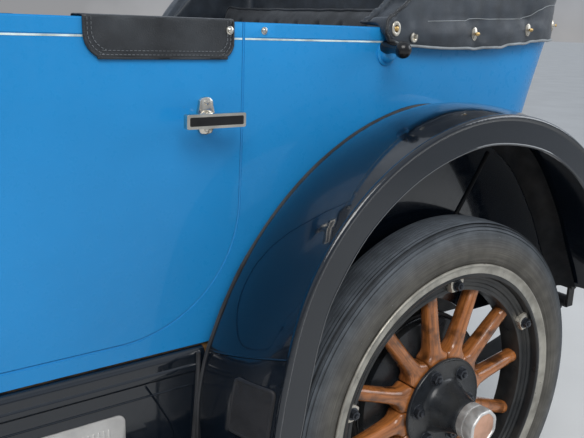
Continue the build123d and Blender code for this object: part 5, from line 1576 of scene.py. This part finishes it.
def build_hood_trim():
    """Pressed louvres, spring latches and handles of the hood, and its hinge knuckles."""
    for side_name, side in SIDES.items():
        node, body = f"hood_{side_name}", f"hood_{side_name}_body"
        louvres = Form()

        def on(x, z):
            point, normal = hit(node, at(x, side * OUTSIDE_Y, z), (0, -side, 0))
            if point is None:
                return at(x, side * 0.4, z), Vector((0, side, 0))
            return point, normal if normal.y * side > 0 else -normal

        for k in range(LOUVRES):
            x = LOUVRE_X + LOUVRE_PITCH * k
            low, wide, lip, back = [], [], [], []
            for z in [LOUVRE_LOW + (LOUVRE_TOP - LOUVRE_LOW) * j / 12 for j in range(13)]:
                rise = math.sin(math.pi / 2 * min(1.0, min(z - LOUVRE_LOW, LOUVRE_TOP - z) / 0.020))
                p0, normal = on(x + 0.011, z)
                p1, _ = on(x - 0.009, z)
                low.append(p0 - normal * 0.0006)
                wide.append(p0.lerp(p1, 0.45) + normal * (0.0052 * rise - 0.0004))
                lip.append(p1 + normal * (0.0078 * rise - 0.0004))
                back.append(p1 - Vector((0.0009, 0, 0)) - normal * 0.0006)
            louvres.rings([low, wide, lip, back], loop=False, wrap=True)
        louvres.piece(f"hood_louvres_{side_name}", "body_blue", body, 40)
        metal = Form()
        for x in (2.200, 2.790):
            point, _ = on(x, 0.700)
            place = side_place(point, side)
            metal.slab(round_rect(0.030, 0.052, 0.008), place, -0.001, 0.0030, 0.0010, 2)
            metal.tube([place(p) for p in ((0, 0.016, 0.003), (0, 0.016, 0.014), (0, 0.004, 0.020),
                                           (0, -0.014, 0.016), (0, -0.022, 0.006))], 0.0045, 10)
            metal.slab(round_rect(0.020, 0.012, 0.005),
                       shifted(place, 0, -0.024, 0.003), 0.0, 0.005, 0.001, 2)
        point, _ = on(2.49, 0.735)
        place = side_place(point, side)
        grip = [(-0.060, 0, 0.0), (-0.056, 0, 0.014), (-0.046, 0, 0.024), (0.0, 0, 0.027), (0.046, 0, 0.024),
                (0.056, 0, 0.014), (0.060, 0, 0.0)]
        metal.tube(smooth_line([place(p) for p in grip], 5), 0.0048, 10)
        for u in (-0.060, 0.060):
            metal.slab(moved(polygon(18, 0.011), u, 0), place, -0.001, 0.003, 0.001, 2)
        metal.piece(f"hood_fittings_{side_name}", "nickel", body, 30)
    knuckles = Form()
    a, b = (at(x, 0, z) for x, z in HINGE_LINE)
    for k in range(25):
        p, q = a.lerp(b, (k + 0.06) / 25), a.lerp(b, (k + 0.94) / 25)
        if k % 2 == 0:
            knuckles.tube([p, p.lerp(q, 0.05), p.lerp(q, 0.95), q], [0.0050, 0.0062, 0.0062, 0.0050], 12)
    knuckles.piece("hood_hinge_knuckles", "nickel", "chassis", 40)


def build_radiator():
    """Honeycomb front of the core, edge mouldings and knurled filler cap."""
    core = Form()
    pitch, rows = 0.0125, 62
    z0, z1 = 0.614, 1.126
    half = 0.246
    count = int(2 * half / pitch)
    for c in range(count + 1):
        y = -half + pitch * c
        phase = c % 2
        top = z1 - 0.045 * max(0.0, (abs(y) - 0.13) / 0.11) ** 2
        front, back = [], []
        for r in range(rows + 1):
            z = z0 + (top - z0) * r / rows
            shift = pitch * 0.30 * (1 if (r + phase) % 2 else -1)
            front.append(at(CORE_FRONT + 0.0075, y + shift, z))
            back.append(at(CORE_FRONT - 0.0010, y + shift, z))
        core.rings([front, back], loop=False)
    obj = core.piece("radiator_honeycomb", "core_black", "chassis", 20)
    thick = obj.modifiers.new("thickness", "SOLIDIFY")
    thick.thickness, thick.offset = 0.0011, 0
    shell = Form()
    x = 2.9735
    line = [at(x, 0.2486, 0.612 + 0.05 * k) for k in range(9)]
    line += [at(x, y, z) for y, z in ((0.2440, 1.062), (0.222, 1.098), (0.190, 1.118), (0.140, 1.126),
                                      (0.070, 1.1312), (0.0, 1.1325))]
    loop = line + [Vector((p.x, -p.y, p.z)) for p in reversed(line[:-1])]
    shell.tube(smooth_line(loop, 4), 0.0034, 8)
    shell.piece("radiator_bead", "nickel", "chassis", 60)
    cap = Form()
    place = basis(at(2.920, 0, 1.2100), (1, 0, 0), (0, 1, 0))
    turned_on(cap, [(0.0318, -0.002), (0.0330, 0.000), (0.0330, 0.005), (0.0310, 0.007), (0.0350, 0.010),
                    (0.0360, 0.013), (0.0352, 0.018),
                    (0.0280, 0.0225), (0.0180, 0.0250), (0.0080, 0.0262), (0.0010, 0.0265)], place, 48)
    for k in range(24):
        t = 2 * math.pi * k / 24
        cap.tube([place((0.0352 * math.cos(t), 0.0352 * math.sin(t), w))
                  for w in (0.0085, 0.011, 0.0155, 0.0185)], [0.001, 0.0019, 0.0019, 0.001], 6)
    cap.piece("radiator_cap", "nickel", "chassis", 40)


def build_headlamps():
    """Rim, fluted glass, reflector and bulb in each headlamp's bowl."""
    for side_name, side in SIDES.items():
        place = basis(at(LAMP_X, side * LAMP_Y, LAMP_Z), (0, 1, 0), (0, 0, 1))
        rim = Form()
        turned_on(rim, [(0.1090, 0.0605), (0.1090, 0.0665), (0.1108, 0.0688), (0.1150, 0.0700),
                        (0.1200, 0.0690), (0.1228, 0.0655), (0.1235, 0.0600),
                        (0.1232, 0.0520), (0.1200, 0.0500), (0.1170, 0.0520)], place, 64, closed=True)
        turned_on(rim, [(0.0475, -0.0885), (0.0430, -0.0925), (0.0300, -0.0955), (0.0100, -0.0965),
                        (0.0010, -0.0966)], place, 48)
        rim.tube([place(p) for p in ((0, 0.121, 0.060), (0, 0.129, 0.058), (0, 0.131, 0.050),
                                     (0, 0.124, 0.042))], 0.0036, 8)
        rim.piece(f"headlamp_rim_{side_name}", "nickel", "chassis", 40)
        mirror = Form()
        turned_on(mirror, [(0.1055, 0.0545), (0.0980, 0.0340), (0.0860, 0.0050), (0.0700, -0.0220),
                           (0.0500, -0.0440), (0.0300, -0.0560), (0.0080, -0.0600)], place, 64, caps=False)
        mirror.piece(f"headlamp_mirror_{side_name}", "nickel", "chassis", 60)
        bulb = Form()
        turned_on(bulb, [(0.0010, 0.0030), (0.0080, 0.0010), (0.0125, -0.0060), (0.0135, -0.0150),
                         (0.0110, -0.0260), (0.0090, -0.0340), (0.0090, -0.0560)], place, 24)
        bulb.piece(f"headlamp_bulb_{side_name}", "dial_white", "chassis", 60)
        glass = Form()
        rings = []
        steps = 160
        for r in (0.002, 0.030, 0.055, 0.078, 0.094, 0.103, 0.1062):
            ring = []
            for k in range(steps):
                t = 2 * math.pi * k / steps
                u, v = r * math.cos(t), r * math.sin(t)
                flute = 0.0010 * math.cos(u * 2 * math.pi / 0.0130) * min(1.0, (0.1062 - r) / 0.012)
                ring.append(place((u, v, 0.0618 + 0.0042 * (1 - (r / LENS_R) ** 2) + flute)))
            rings.append(ring)
        rings += [circle_on(place, 0.1062, 0.0570, steps), circle_on(place, 0.002, 0.0585, steps)]
        glass.rings(rings, caps=True)
        lens = glass.piece(f"headlamp_glass_{side_name}", "glass_clear", "chassis", 60)
        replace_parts(lens, "headlamp_lenses")


def screen_place(side, z, out):
    """A place on a windscreen post, out from its middle plane: u forward, v up, w out of the car."""
    return lambda p: at(SCREEN_X + p[0], side * (SCREEN_HALF + out + p[2]), z + p[1])


def build_windscreen_trim():
    """Clamps and wing nuts on the windscreen's posts, and the rubber between its panes."""
    metal, rubber_form = Form(), Form()
    for side in (1, -1):
        for z in (SCREEN_LOW + 0.040, SCREEN_TOP - 0.060):
            place = screen_place(side, z, 0.0110)
            turned_on(metal, [(0.0150, 0.0185), (0.0150, 0.0215), (0.0120, 0.0240), (0.0090, 0.0260),
                              (0.0082, 0.0340), (0.0060, 0.0365), (0.0010, 0.0370)], place, 28)
            for way in (1, -1):
                metal.slab([(way * (0.006 + a), 0.004 + b) for a, b in WING], place,
                           0.0285, 0.0325, 0.0010, 2)
        metal.slab(round_rect(0.030, 0.060, 0.006), screen_place(side, BRACKET_Z, 0.0295),
                   -0.001, 0.004, 0.001, 2)
        for v in (-0.018, 0.018):
            screw(metal, screen_place(side, BRACKET_Z + v, 0.0335), 0.0055)
    metal.piece("windscreen_fittings", "nickel", "chassis", 40)
    line = [at(SCREEN_X, -SCREEN_HALF + 0.004, 1.500), at(SCREEN_X, 0, 1.500),
            at(SCREEN_X, SCREEN_HALF - 0.004, 1.500)]
    rubber_form.tube(line, 0.0052, 8)
    rubber_form.tube([at(SCREEN_X, y, 1.2580) for y in (-SCREEN_HALF + 0.02, 0,
                                                        SCREEN_HALF - 0.02)], 0.0065, 8)
    rubber_form.piece("windscreen_seals", "pad_rubber", "chassis", 60)
    wiper = Form()
    wiper.tube([at(SCREEN_X + 0.010, 0.330, 1.752), at(SCREEN_X + 0.020, 0.330, 1.745),
                at(SCREEN_X + 0.016, 0.318, 1.640), at(SCREEN_X + 0.010, 0.312, 1.560)], 0.0032, 8)
    wiper.slab(round_rect(0.010, 0.210, 0.004), lambda p: at(SCREEN_X + 0.0078 + p[2], 0.314 + p[0],
                                                             1.632 + p[1]), -0.003, 0.003, 0.001, 2)
    wiper.piece("windscreen_wiper", "chassis_black", "chassis", 40)


def build_steering_wheel():
    """Wooden rim with finger grips, four flat spokes, hub, horn button and hand levers."""
    top, foot = at(*WHEEL_AT), at(*BOX_AT)
    axis = (top - foot).normalized()
    place = disc_place(top, axis)
    rim = Form()
    rings = []
    steps = 120
    for k in range(steps):
        t = 2 * math.pi * k / steps
        grip = 0.0014 * (0.5 + 0.5 * math.cos(40 * t))
        ring = []
        for j in range(16):
            a = 2 * math.pi * j / 16
            under = max(0.0, -math.sin(a))
            r = 0.0132 - grip * under
            far = STEERING_R + r * math.cos(a)
            ring.append(place((far * math.cos(t), far * math.sin(t), r * 0.92 * math.sin(a))))
        rings.append(ring)
    rim.rings(rings, wrap=True)
    wheel = rim.piece("steering_rim", "steering_wood", "steering_wheel_body", 60)
    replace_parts(wheel, "steering_wheel")
    metal = Form()
    for k in range(4):
        t = math.radians(45 + 90 * k)
        ring_list = []
        for r, w, h, z in ((0.020, 0.020, 0.006, 0.006), (0.060, 0.015, 0.005, 0.004),
                           (0.130, 0.012, 0.0045, 0.0), (0.180, 0.014, 0.0045, -0.002),
                           (0.1990, 0.020, 0.0050, -0.003)):
            ring = []
            for j in range(12):
                a = 2 * math.pi * j / 12
                u, v = r, w / 2 * math.cos(a)
                ring.append(place((u * math.cos(t) - v * math.sin(t),
                                   u * math.sin(t) + v * math.cos(t), z + h * math.sin(a))))
            ring_list.append(ring)
        metal.rings(ring_list, caps=True)
    turned_on(metal, [(0.0300, -0.028), (0.0330, -0.010), (0.0345, 0.002), (0.0320, 0.0125), (0.0260, 0.0170),
                      (0.0250, 0.0200), (0.0240, 0.0205), (0.0010, 0.0210)], place, 40)
    metal.piece("steering_spokes", "nickel", "steering_wheel_body", 40)
    horn = Form()
    turned_on(horn, [(0.0200, 0.0195), (0.0205, 0.0230), (0.0180, 0.0265), (0.0110, 0.0290),
                     (0.0010, 0.0300)], place, 36)
    horn.piece("horn_button", "inlay_black", "steering_wheel_body", 60)
    levers = Form()
    for turn, reach in ((200, 0.120), (155, 0.120)):
        t = math.radians(turn)
        levers.tube([place((r * math.cos(t), r * math.sin(t), z))
                     for r, z in ((0.022, -0.040), (0.045, -0.036), (0.085, -0.030),
                                  (reach, -0.030))], [0.0045, 0.0040, 0.0034, 0.0034], 8)
        levers.tube([place((r * math.cos(t), r * math.sin(t), -0.030))
                     for r in (reach - 0.002, reach + 0.004, reach + 0.012,
                               reach + 0.014)], [0.0035, 0.0075, 0.0070, 0.003], 10)
    turned_on(levers, [(0.0185, -0.050), (0.0235, -0.050), (0.0240, -0.032), (0.0185, -0.0305)], place, 32)
    levers.piece("hand_levers", "nickel", "chassis", 40)


def build_dash():
    """Instrument panel with gauges, switch keys and a lamp, facing the front seat."""
    board = Form()
    spot = lambda p: at(DASH_X - p[2], -p[0], DASH_Z + p[1])
    board.slab(round_rect(0.420, 0.150, 0.020), spot, -0.0005, 0.0060, 0.0020, 2)
    board.piece("dash_panel", "dash_wood", "chassis", 40)
    metal, faces, marks = Form(), Form(), Form()
    for u, v, r in ((0.0, 0.004, 0.047), (-0.115, 0.012, 0.030), (0.115, 0.012, 0.030),
                    (-0.180, -0.030, 0.019), (0.180, -0.030, 0.019)):
        place = shifted(spot, u, v, 0.006)
        turned_on(metal, [(r, -0.001), (r * 1.10, 0.0), (r * 1.12, 0.004), (r * 1.06, 0.0085),
                          (r * 0.98, 0.0092), (r * 0.93, 0.0070), (r * 0.93, 0.0020)], place, 48, closed=True)
        turned_on(faces, [(r * 0.94, 0.0020), (r * 0.5, 0.0022), (0.0006, 0.0022)], place, 40, caps=False)
        ticks = 20 if r > 0.04 else 10
        for k in range(ticks + 1):
            t = math.radians(225 - 270 * k / ticks)
            length = 0.20 if k % 5 == 0 else 0.12
            marks.tube([place((r * q * math.cos(t), r * q * math.sin(t), 0.0028))
                        for q in (0.84, 0.84 - length)], 0.0007 if k % 5 else 0.0011, 4)
        t = math.radians(205 - 40 * abs(u) * 10)
        marks.tube([place((r * q * math.cos(t), r * q * math.sin(t), 0.0042)) for q in (-0.14, 0.1, 0.72)],
                   [0.0016, 0.0013, 0.0005], 6)
        turned_on(metal, [(r * 0.09, 0.003), (r * 0.09, 0.0052), (0.0004, 0.0060)], place, 14)
    for u in (-0.060, -0.035, 0.060):
        place = shifted(spot, u, -0.048, 0.006)
        turned_on(metal, [(0.0085, -0.001), (0.0085, 0.002), (0.0045, 0.003), (0.0040, 0.012),
                          (0.0070, 0.013), (0.0070, 0.019), (0.0010, 0.020)], place, 20)
    metal.piece("dash_bezels", "nickel", "chassis", 40)
    faces.piece("dash_dials", "dial_white", "chassis", 60)
    marks.piece("dash_marks", "inlay_black", "chassis", 60)


def build_controls():
    """Pedals, gear lever and hand brake."""
    metal, pads = Form(), Form()
    for y, x, z, w in ((0.400, 1.825, 0.800, 0.060), (0.235, 1.825, 0.800, 0.060),
                       (0.165, 1.850, 0.755, 0.040)):
        place = basis(at(x, y, z), (0, 1, 0), (0.55, 0, 0.83))
        pads.slab(round_rect(w, 0.078, 0.012), place, -0.004, 0.007, 0.002, 2)
        for k in range(5):
            pads.slab(moved(round_rect(w * 0.8, 0.004, 0.0015, 2), 0, 0.013 * (k - 2)), place,
                      0.006, 0.0092, 0.001, 1)
        metal.tube([at(x + 0.004, y, z - 0.002), at(x + 0.035, y, z - 0.020), at(x + 0.075, y, z - 0.050),
                    at(x + 0.110, y, z - 0.095)], 0.0085, 10)
    metal.tube(smooth_line([at(1.640, -0.010, 0.646), at(1.630, -0.010, 0.720), at(1.600, -0.005, 0.860),
                            at(1.560, 0.0, 1.000)], 5), 0.0085, 12)
    place = basis(at(1.640, -0.010, 0.646), (1, 0, 0), (0, 1, 0))
    turned_on(metal, [(0.052, -0.001), (0.052, 0.006), (0.036, 0.014), (0.024, 0.032), (0.016, 0.040),
                      (0.0085, 0.042)], place, 36)
    metal.tube([at(1.590, -0.085, 0.646), at(1.575, -0.085, 0.760), at(1.535, -0.085, 0.900)],
               [0.0095, 0.0085, 0.0075], 12)
    metal.tube([at(1.600, -0.085, 0.800), at(1.552, -0.085, 0.915)], 0.0040, 8)
    metal.piece("floor_levers", "nickel", "chassis", 40)
    knob = Form()
    place = basis(at(1.5575, 0.0, 1.010), (1, 0, 0), (0, 1, 0))
    turned_on(knob, [(0.0080, -0.014), (0.0150, -0.010), (0.0205, 0.0), (0.0215, 0.008), (0.0180, 0.018),
                     (0.0100, 0.024), (0.001, 0.0255)], place, 32)
    knob.tube([at(1.5345, -0.085, 0.898), at(1.530, -0.085, 0.915), at(1.512, -0.085, 0.990),
               at(1.509, -0.085, 1.002)], [0.008, 0.0125, 0.0125, 0.006], 14)
    knob.piece("lever_knobs", "inlay_black", "chassis", 60)
    pads.piece("pedal_pads", "pad_rubber", "chassis", 40)


def build_carpets():
    """Bound mats on the floor in front of both seats."""
    for name, x0, x1, half in (("front", 1.500, 1.845, 0.500), ("rear", 0.375, 0.990, 0.575)):
        form = Form()
        spot = lambda p: at((x0 + x1) / 2 + p[0], p[1], 0.645 + p[2])
        outline = finer(round_rect(x1 - x0, 2 * half, 0.03), 0.04)
        rings = []
        for scale, lift in ((1.0, -0.001), (1.0, 0.0055), (0.994, 0.0075), (0.98, 0.0078), (0.972, 0.0062),
                            (0.6, 0.0062), (0.1, 0.0062)):
            rings.append([spot((u * scale, v * scale, lift
                                + 0.0006 * noise.noise(Vector((u * 40, v * 40,
                                                               scale))))) for u, v in outline])
        form.rings(rings, caps=True)
        form.piece(f"carpet_{name}", "carpet", "chassis", 50)


def build_toe_board():
    """The sloped board between the floor's front edge and the bulkhead."""
    form = Form()
    low, high = (1.850, 0.647, 0.478), (2.100, 0.860, 0.366)
    rings = []
    for k in range(9):
        x, z, half = (a + (b - a) * k / 8 for a, b in zip(low, high))
        rings.append([at(x + u, y, z + w) for y, u, w in ((-half, 0.0, 0.0), (-half, -0.006, 0.007),
                                                          (half, -0.006, 0.007), (half, 0.0, 0.0))])
    form.rings(rings, caps=True)
    form.piece("toe_board", "carpet", "chassis", 30)


def build_door_cards():
    """Leather-covered cards on the doors' inner faces, the rear ones with a pocket."""
    for side_name, side in SIDES.items():
        for name, x0, x1, z0 in (("rear", 0.600, 0.985, 0.790), ("front", 1.215, 1.640, 0.735)):
            node = f"door_{name}_{side_name}"
            body = f"{node}_body"

            def inside(x, z):
                point, _ = hit(node, at(x, side * 0.30, z), (0, side, 0))
                if point is None:
                    point = at(x, side * 0.598, z)
                return point, Vector((0, -side, 0))

            z1 = 1.185
            card = Form()
            outline = moved(finer(round_rect(x1 - x0, z1 - z0, 0.035), 0.035), (x0 + x1) / 2, (z0 + z1) / 2)
            patch(card, outline, inside, [(1.0, -0.001), (1.0, 0.0040), (0.988, 0.0060), (0.965, 0.0062),
                                          (0.955, 0.0040), (0.94, 0.0064), (0.6, 0.0078), (0.1, 0.0080)])
            if name == "rear":
                pocket = moved(finer(round_rect((x1 - x0) * 0.72, 0.150, 0.03), 0.03),
                               (x0 + x1) / 2, z0 + 0.105)
                patch(card, pocket, inside, [(1.0, 0.004), (1.0, 0.0125), (0.985, 0.0142), (0.93, 0.0150),
                                             (0.5, 0.0158), (0.1, 0.0160)])
            card.piece(f"door_card_{name}_{side_name}", "leather_black", body, 50)
            lever = Form()
            p, n = inside(x0 + 0.035, 1.120)
            base = side_place(p + n * 0.006, -side)
            turned_on(lever, [(0.020, -0.001), (0.020, 0.003), (0.012, 0.006), (0.008, 0.014),
                              (0.001, 0.015)], base, 28)
            bar = [base((side * u, v, w)) for u, v, w in ((0, 0, 0.011), (0.030, -0.004, 0.013),
                                                          (0.062, -0.010, 0.012))]
            lever.tube(bar, [0.006, 0.005, 0.0065], 10)
            lever.piece(f"door_lever_{name}_{side_name}", "nickel", body, 40)


def build_spring_fittings():
    """U bolts with nuts that hold the spring packs to the axles, and the rear packs' plates."""
    form, nuts = Form(), Form()
    for side in (1, -1):
        y = REAR_SPRING_Y
        for off in (-0.034, 0.034):
            arc = [(0.046 * math.cos(a), 0.415 + 0.046 * math.sin(a))
                   for a in (math.radians(180 - 15 * k) for k in range(13))]
            form.tube([at(u, side * (y + off), z) for u, z in [(-0.046, 0.2700)] + arc
                       + [(0.046, 0.2700)]], 0.0062, 10)
            for u in (-0.046, 0.046):
                nut(nuts, lambda p: at(u + p[0], side * (y + off + p[1]), 0.2838 - p[2]), 0.0105, 0.0085)
        form.slab(round_rect(0.124, 0.100, 0.012), lambda p: at(p[0], side * (y + p[1]), 0.2836 + p[2]), 0.0,
                  0.0092, 0.002, 2)
        y = FRONT_SPRING_Y
        for off in (-0.034, 0.034):
            line = [(-0.032, 0.3560), (-0.032, 0.4225), (-0.028, 0.4272), (0.028, 0.4272),
                    (0.032, 0.4225), (0.032, 0.3560)]
            form.tube([at(WHEELBASE + off, side * (y + v), z) for v, z in line], 0.0060, 10)
            for v in (-0.032, 0.032):
                nut(nuts, lambda p: at(WHEELBASE + off + p[0], side * (y + v + p[1]),
                                       0.3692 - p[2]), 0.0100, 0.0080)
    form.piece("spring_u_bolts", "chassis_black", "chassis", 40)
    nuts.piece("spring_nuts", "inlay_black", "chassis", 30)


def build_tail_lamp():
    """Red glass and plated rim of the tail lamp."""
    place = basis(at(-0.694, 0.480, 0.698), (0, -1, 0), (0, 0, 1))
    rim, lens = Form(), Form()
    turned_on(rim, [(0.0325, -0.004), (0.0325, 0.0025), (0.0345, 0.0048), (0.0380, 0.0040), (0.0392, 0.0010),
                    (0.0392, -0.008), (0.0382, -0.008)], place, 40, closed=True)
    rim.piece("tail_lamp_rim", "nickel", "chassis", 40)
    turned_on(lens, [(0.0322, -0.003), (0.0322, 0.0005), (0.0300, 0.0035), (0.0200, 0.0062), (0.0080, 0.0075),
                     (0.0008, 0.0078)], place, 40)
    lens.piece("tail_lamp_glass", "lamp_red", "chassis", 60)


# The camera found from the photograph's wheel, body and fender
PHOTO_WIDTH = 584
FOCAL_PX = 732.80
SENSOR = 36.0
YAW, PITCH, ROLL = (math.radians(a) for a in (36.431, 14.778, 2.014))
CAMERA_AT = (REAR_X + 1.13604, WHEEL_Y + 0.98823, WHEEL_R + 0.79007)


def place_camera():
    """The photograph's camera."""
    forward = Vector((-math.sin(YAW) * math.cos(PITCH), -math.cos(YAW) * math.cos(PITCH), -math.sin(PITCH)))
    right = forward.cross(Vector((0, 0, 1))).normalized()
    up = right.cross(forward)
    right, up = right * math.cos(ROLL) + up * math.sin(ROLL), up * math.cos(ROLL) - right * math.sin(ROLL)
    lens = bpy.data.cameras.new("photo_camera")
    lens.sensor_width = SENSOR
    lens.sensor_fit = "HORIZONTAL"
    lens.lens = FOCAL_PX / PHOTO_WIDTH * SENSOR
    lens.clip_start = 0.05
    camera = new_object("photo_camera", lens)
    camera.matrix_world = axes_matrix(right, up, -forward, CAMERA_AT)
    bpy.context.scene.camera = camera


def area_light(name, place, target, size, power, color):
    """A rectangular light at place, facing target."""
    light = bpy.data.lights.new(name, "AREA")
    light.shape, light.size, light.size_y = "RECTANGLE", size[0], size[1]
    light.energy, light.color = power, color
    obj = new_object(name, light)
    obj.location = place
    obj.rotation_euler = (Vector(target) - Vector(place)).to_track_quat("-Z", "Y").to_euler()


# Height of the direction above the horizon, from 0 to 1, and the sky's colour there
SKY = ((0.0, (0.47, 0.47, 0.48)), (0.08, (0.42, 0.45, 0.50)), (0.32, (0.68, 0.76, 0.88)),
       (1.0, (0.84, 0.91, 1.0)))
SKY_STRENGTH = 0.78


def build_sky():
    """A soft hazy sky, a little brighter and darker in broad patches."""
    world = bpy.data.worlds.new("studio")
    bpy.context.scene.world = world
    world.use_nodes = True
    tree = world.node_tree
    place = tree.nodes.new("ShaderNodeTexCoord").outputs["Generated"]
    split = tree.nodes.new("ShaderNodeSeparateXYZ")
    tree.links.new(place, split.inputs[0])
    ramp = tree.nodes.new("ShaderNodeValToRGB")
    tree.links.new(split.outputs["Z"], ramp.inputs[0])
    while len(ramp.color_ramp.elements) < len(SKY):
        ramp.color_ramp.elements.new(0.5)
    for element, (spot, color) in zip(ramp.color_ramp.elements, SKY):
        element.position, element.color = spot, (*color, 1)
    cloud = tree.nodes.new("ShaderNodeTexNoise")
    cloud.inputs["Scale"].default_value, cloud.inputs["Detail"].default_value = 2.6, 6.0
    tree.links.new(place, cloud.inputs["Vector"])
    puff = tree.nodes.new("ShaderNodeValToRGB")
    for element, (spot, bright) in zip(puff.color_ramp.elements, ((0.46, 0.82), (0.66, 1.25))):
        element.position, element.color = spot, (bright, bright, bright, 1)
    tree.links.new(cloud.outputs["Fac"], puff.inputs[0])
    blend = tree.nodes.new("ShaderNodeVectorMath")
    blend.operation = "MULTIPLY"
    tree.links.new(ramp.outputs[0], blend.inputs[0])
    tree.links.new(puff.outputs[0], blend.inputs[1])
    tree.links.new(blend.outputs[0], tree.nodes["Background"].inputs[0])
    tree.nodes["Background"].inputs[1].default_value = SKY_STRENGTH


def build_studio():
    """A pale floor under soft light from above, as on a bright hazy day."""
    build_sky()
    area_light("key", (REAR_X + 2.2, 3.6, 4.2), (REAR_X + 0.6, 0.5, 0.6), (3.0, 2.2), 150, (1.0, 0.98, 0.95))
    area_light("fill", (REAR_X - 3.5, 2.5, 2.6), (REAR_X, 0.4, 0.6), (2.5, 2.0), 45, (0.92, 0.96, 1.0))
    mesh = bpy.data.meshes.new("floor_plane")
    half = 120
    mesh.from_pydata([(-half, -half, 0), (half, -half, 0), (half, half, 0),
                      (-half, half, 0)], [], [(0, 1, 2, 3)])
    ground = new_object("floor_plane", mesh)
    f = Finish("floor_pale", rough=0.85, specular=0.1)
    mesh.materials.append(f.done(f.ramp(f.noise(1.5, 5), (0.3, (0.62, 0.61, 0.59)),
                                        (0.7, (0.69, 0.68, 0.66)))))
    bpy.context.scene.view_settings.view_transform = "Standard"


def dress_nodes():
    """Gives each CAD node the material of its slot."""
    for name, obj in NODES.items():
        obj.data.materials.clear()
        obj.data.materials.append(MATS[SLOT_OF[name]])


def main():
    dress_nodes()
    place_camera()
    for name, x, side in WHEELS:
        build_wheel(name, x, side)
    for step in BUILD:
        step()
    build_studio()


BUILD = (
    build_spare, build_brakes, build_belt, build_jambs, build_flaps, build_handles, build_knobs,
    build_fender_trim, build_apron_trim, build_seats, build_boot, build_hood_trim,
    build_radiator, build_headlamps,
    build_windscreen_trim, build_steering_wheel, build_dash, build_controls, build_carpets, build_toe_board,
    build_door_cards, build_spring_fittings, build_tail_lamp,
)
main()
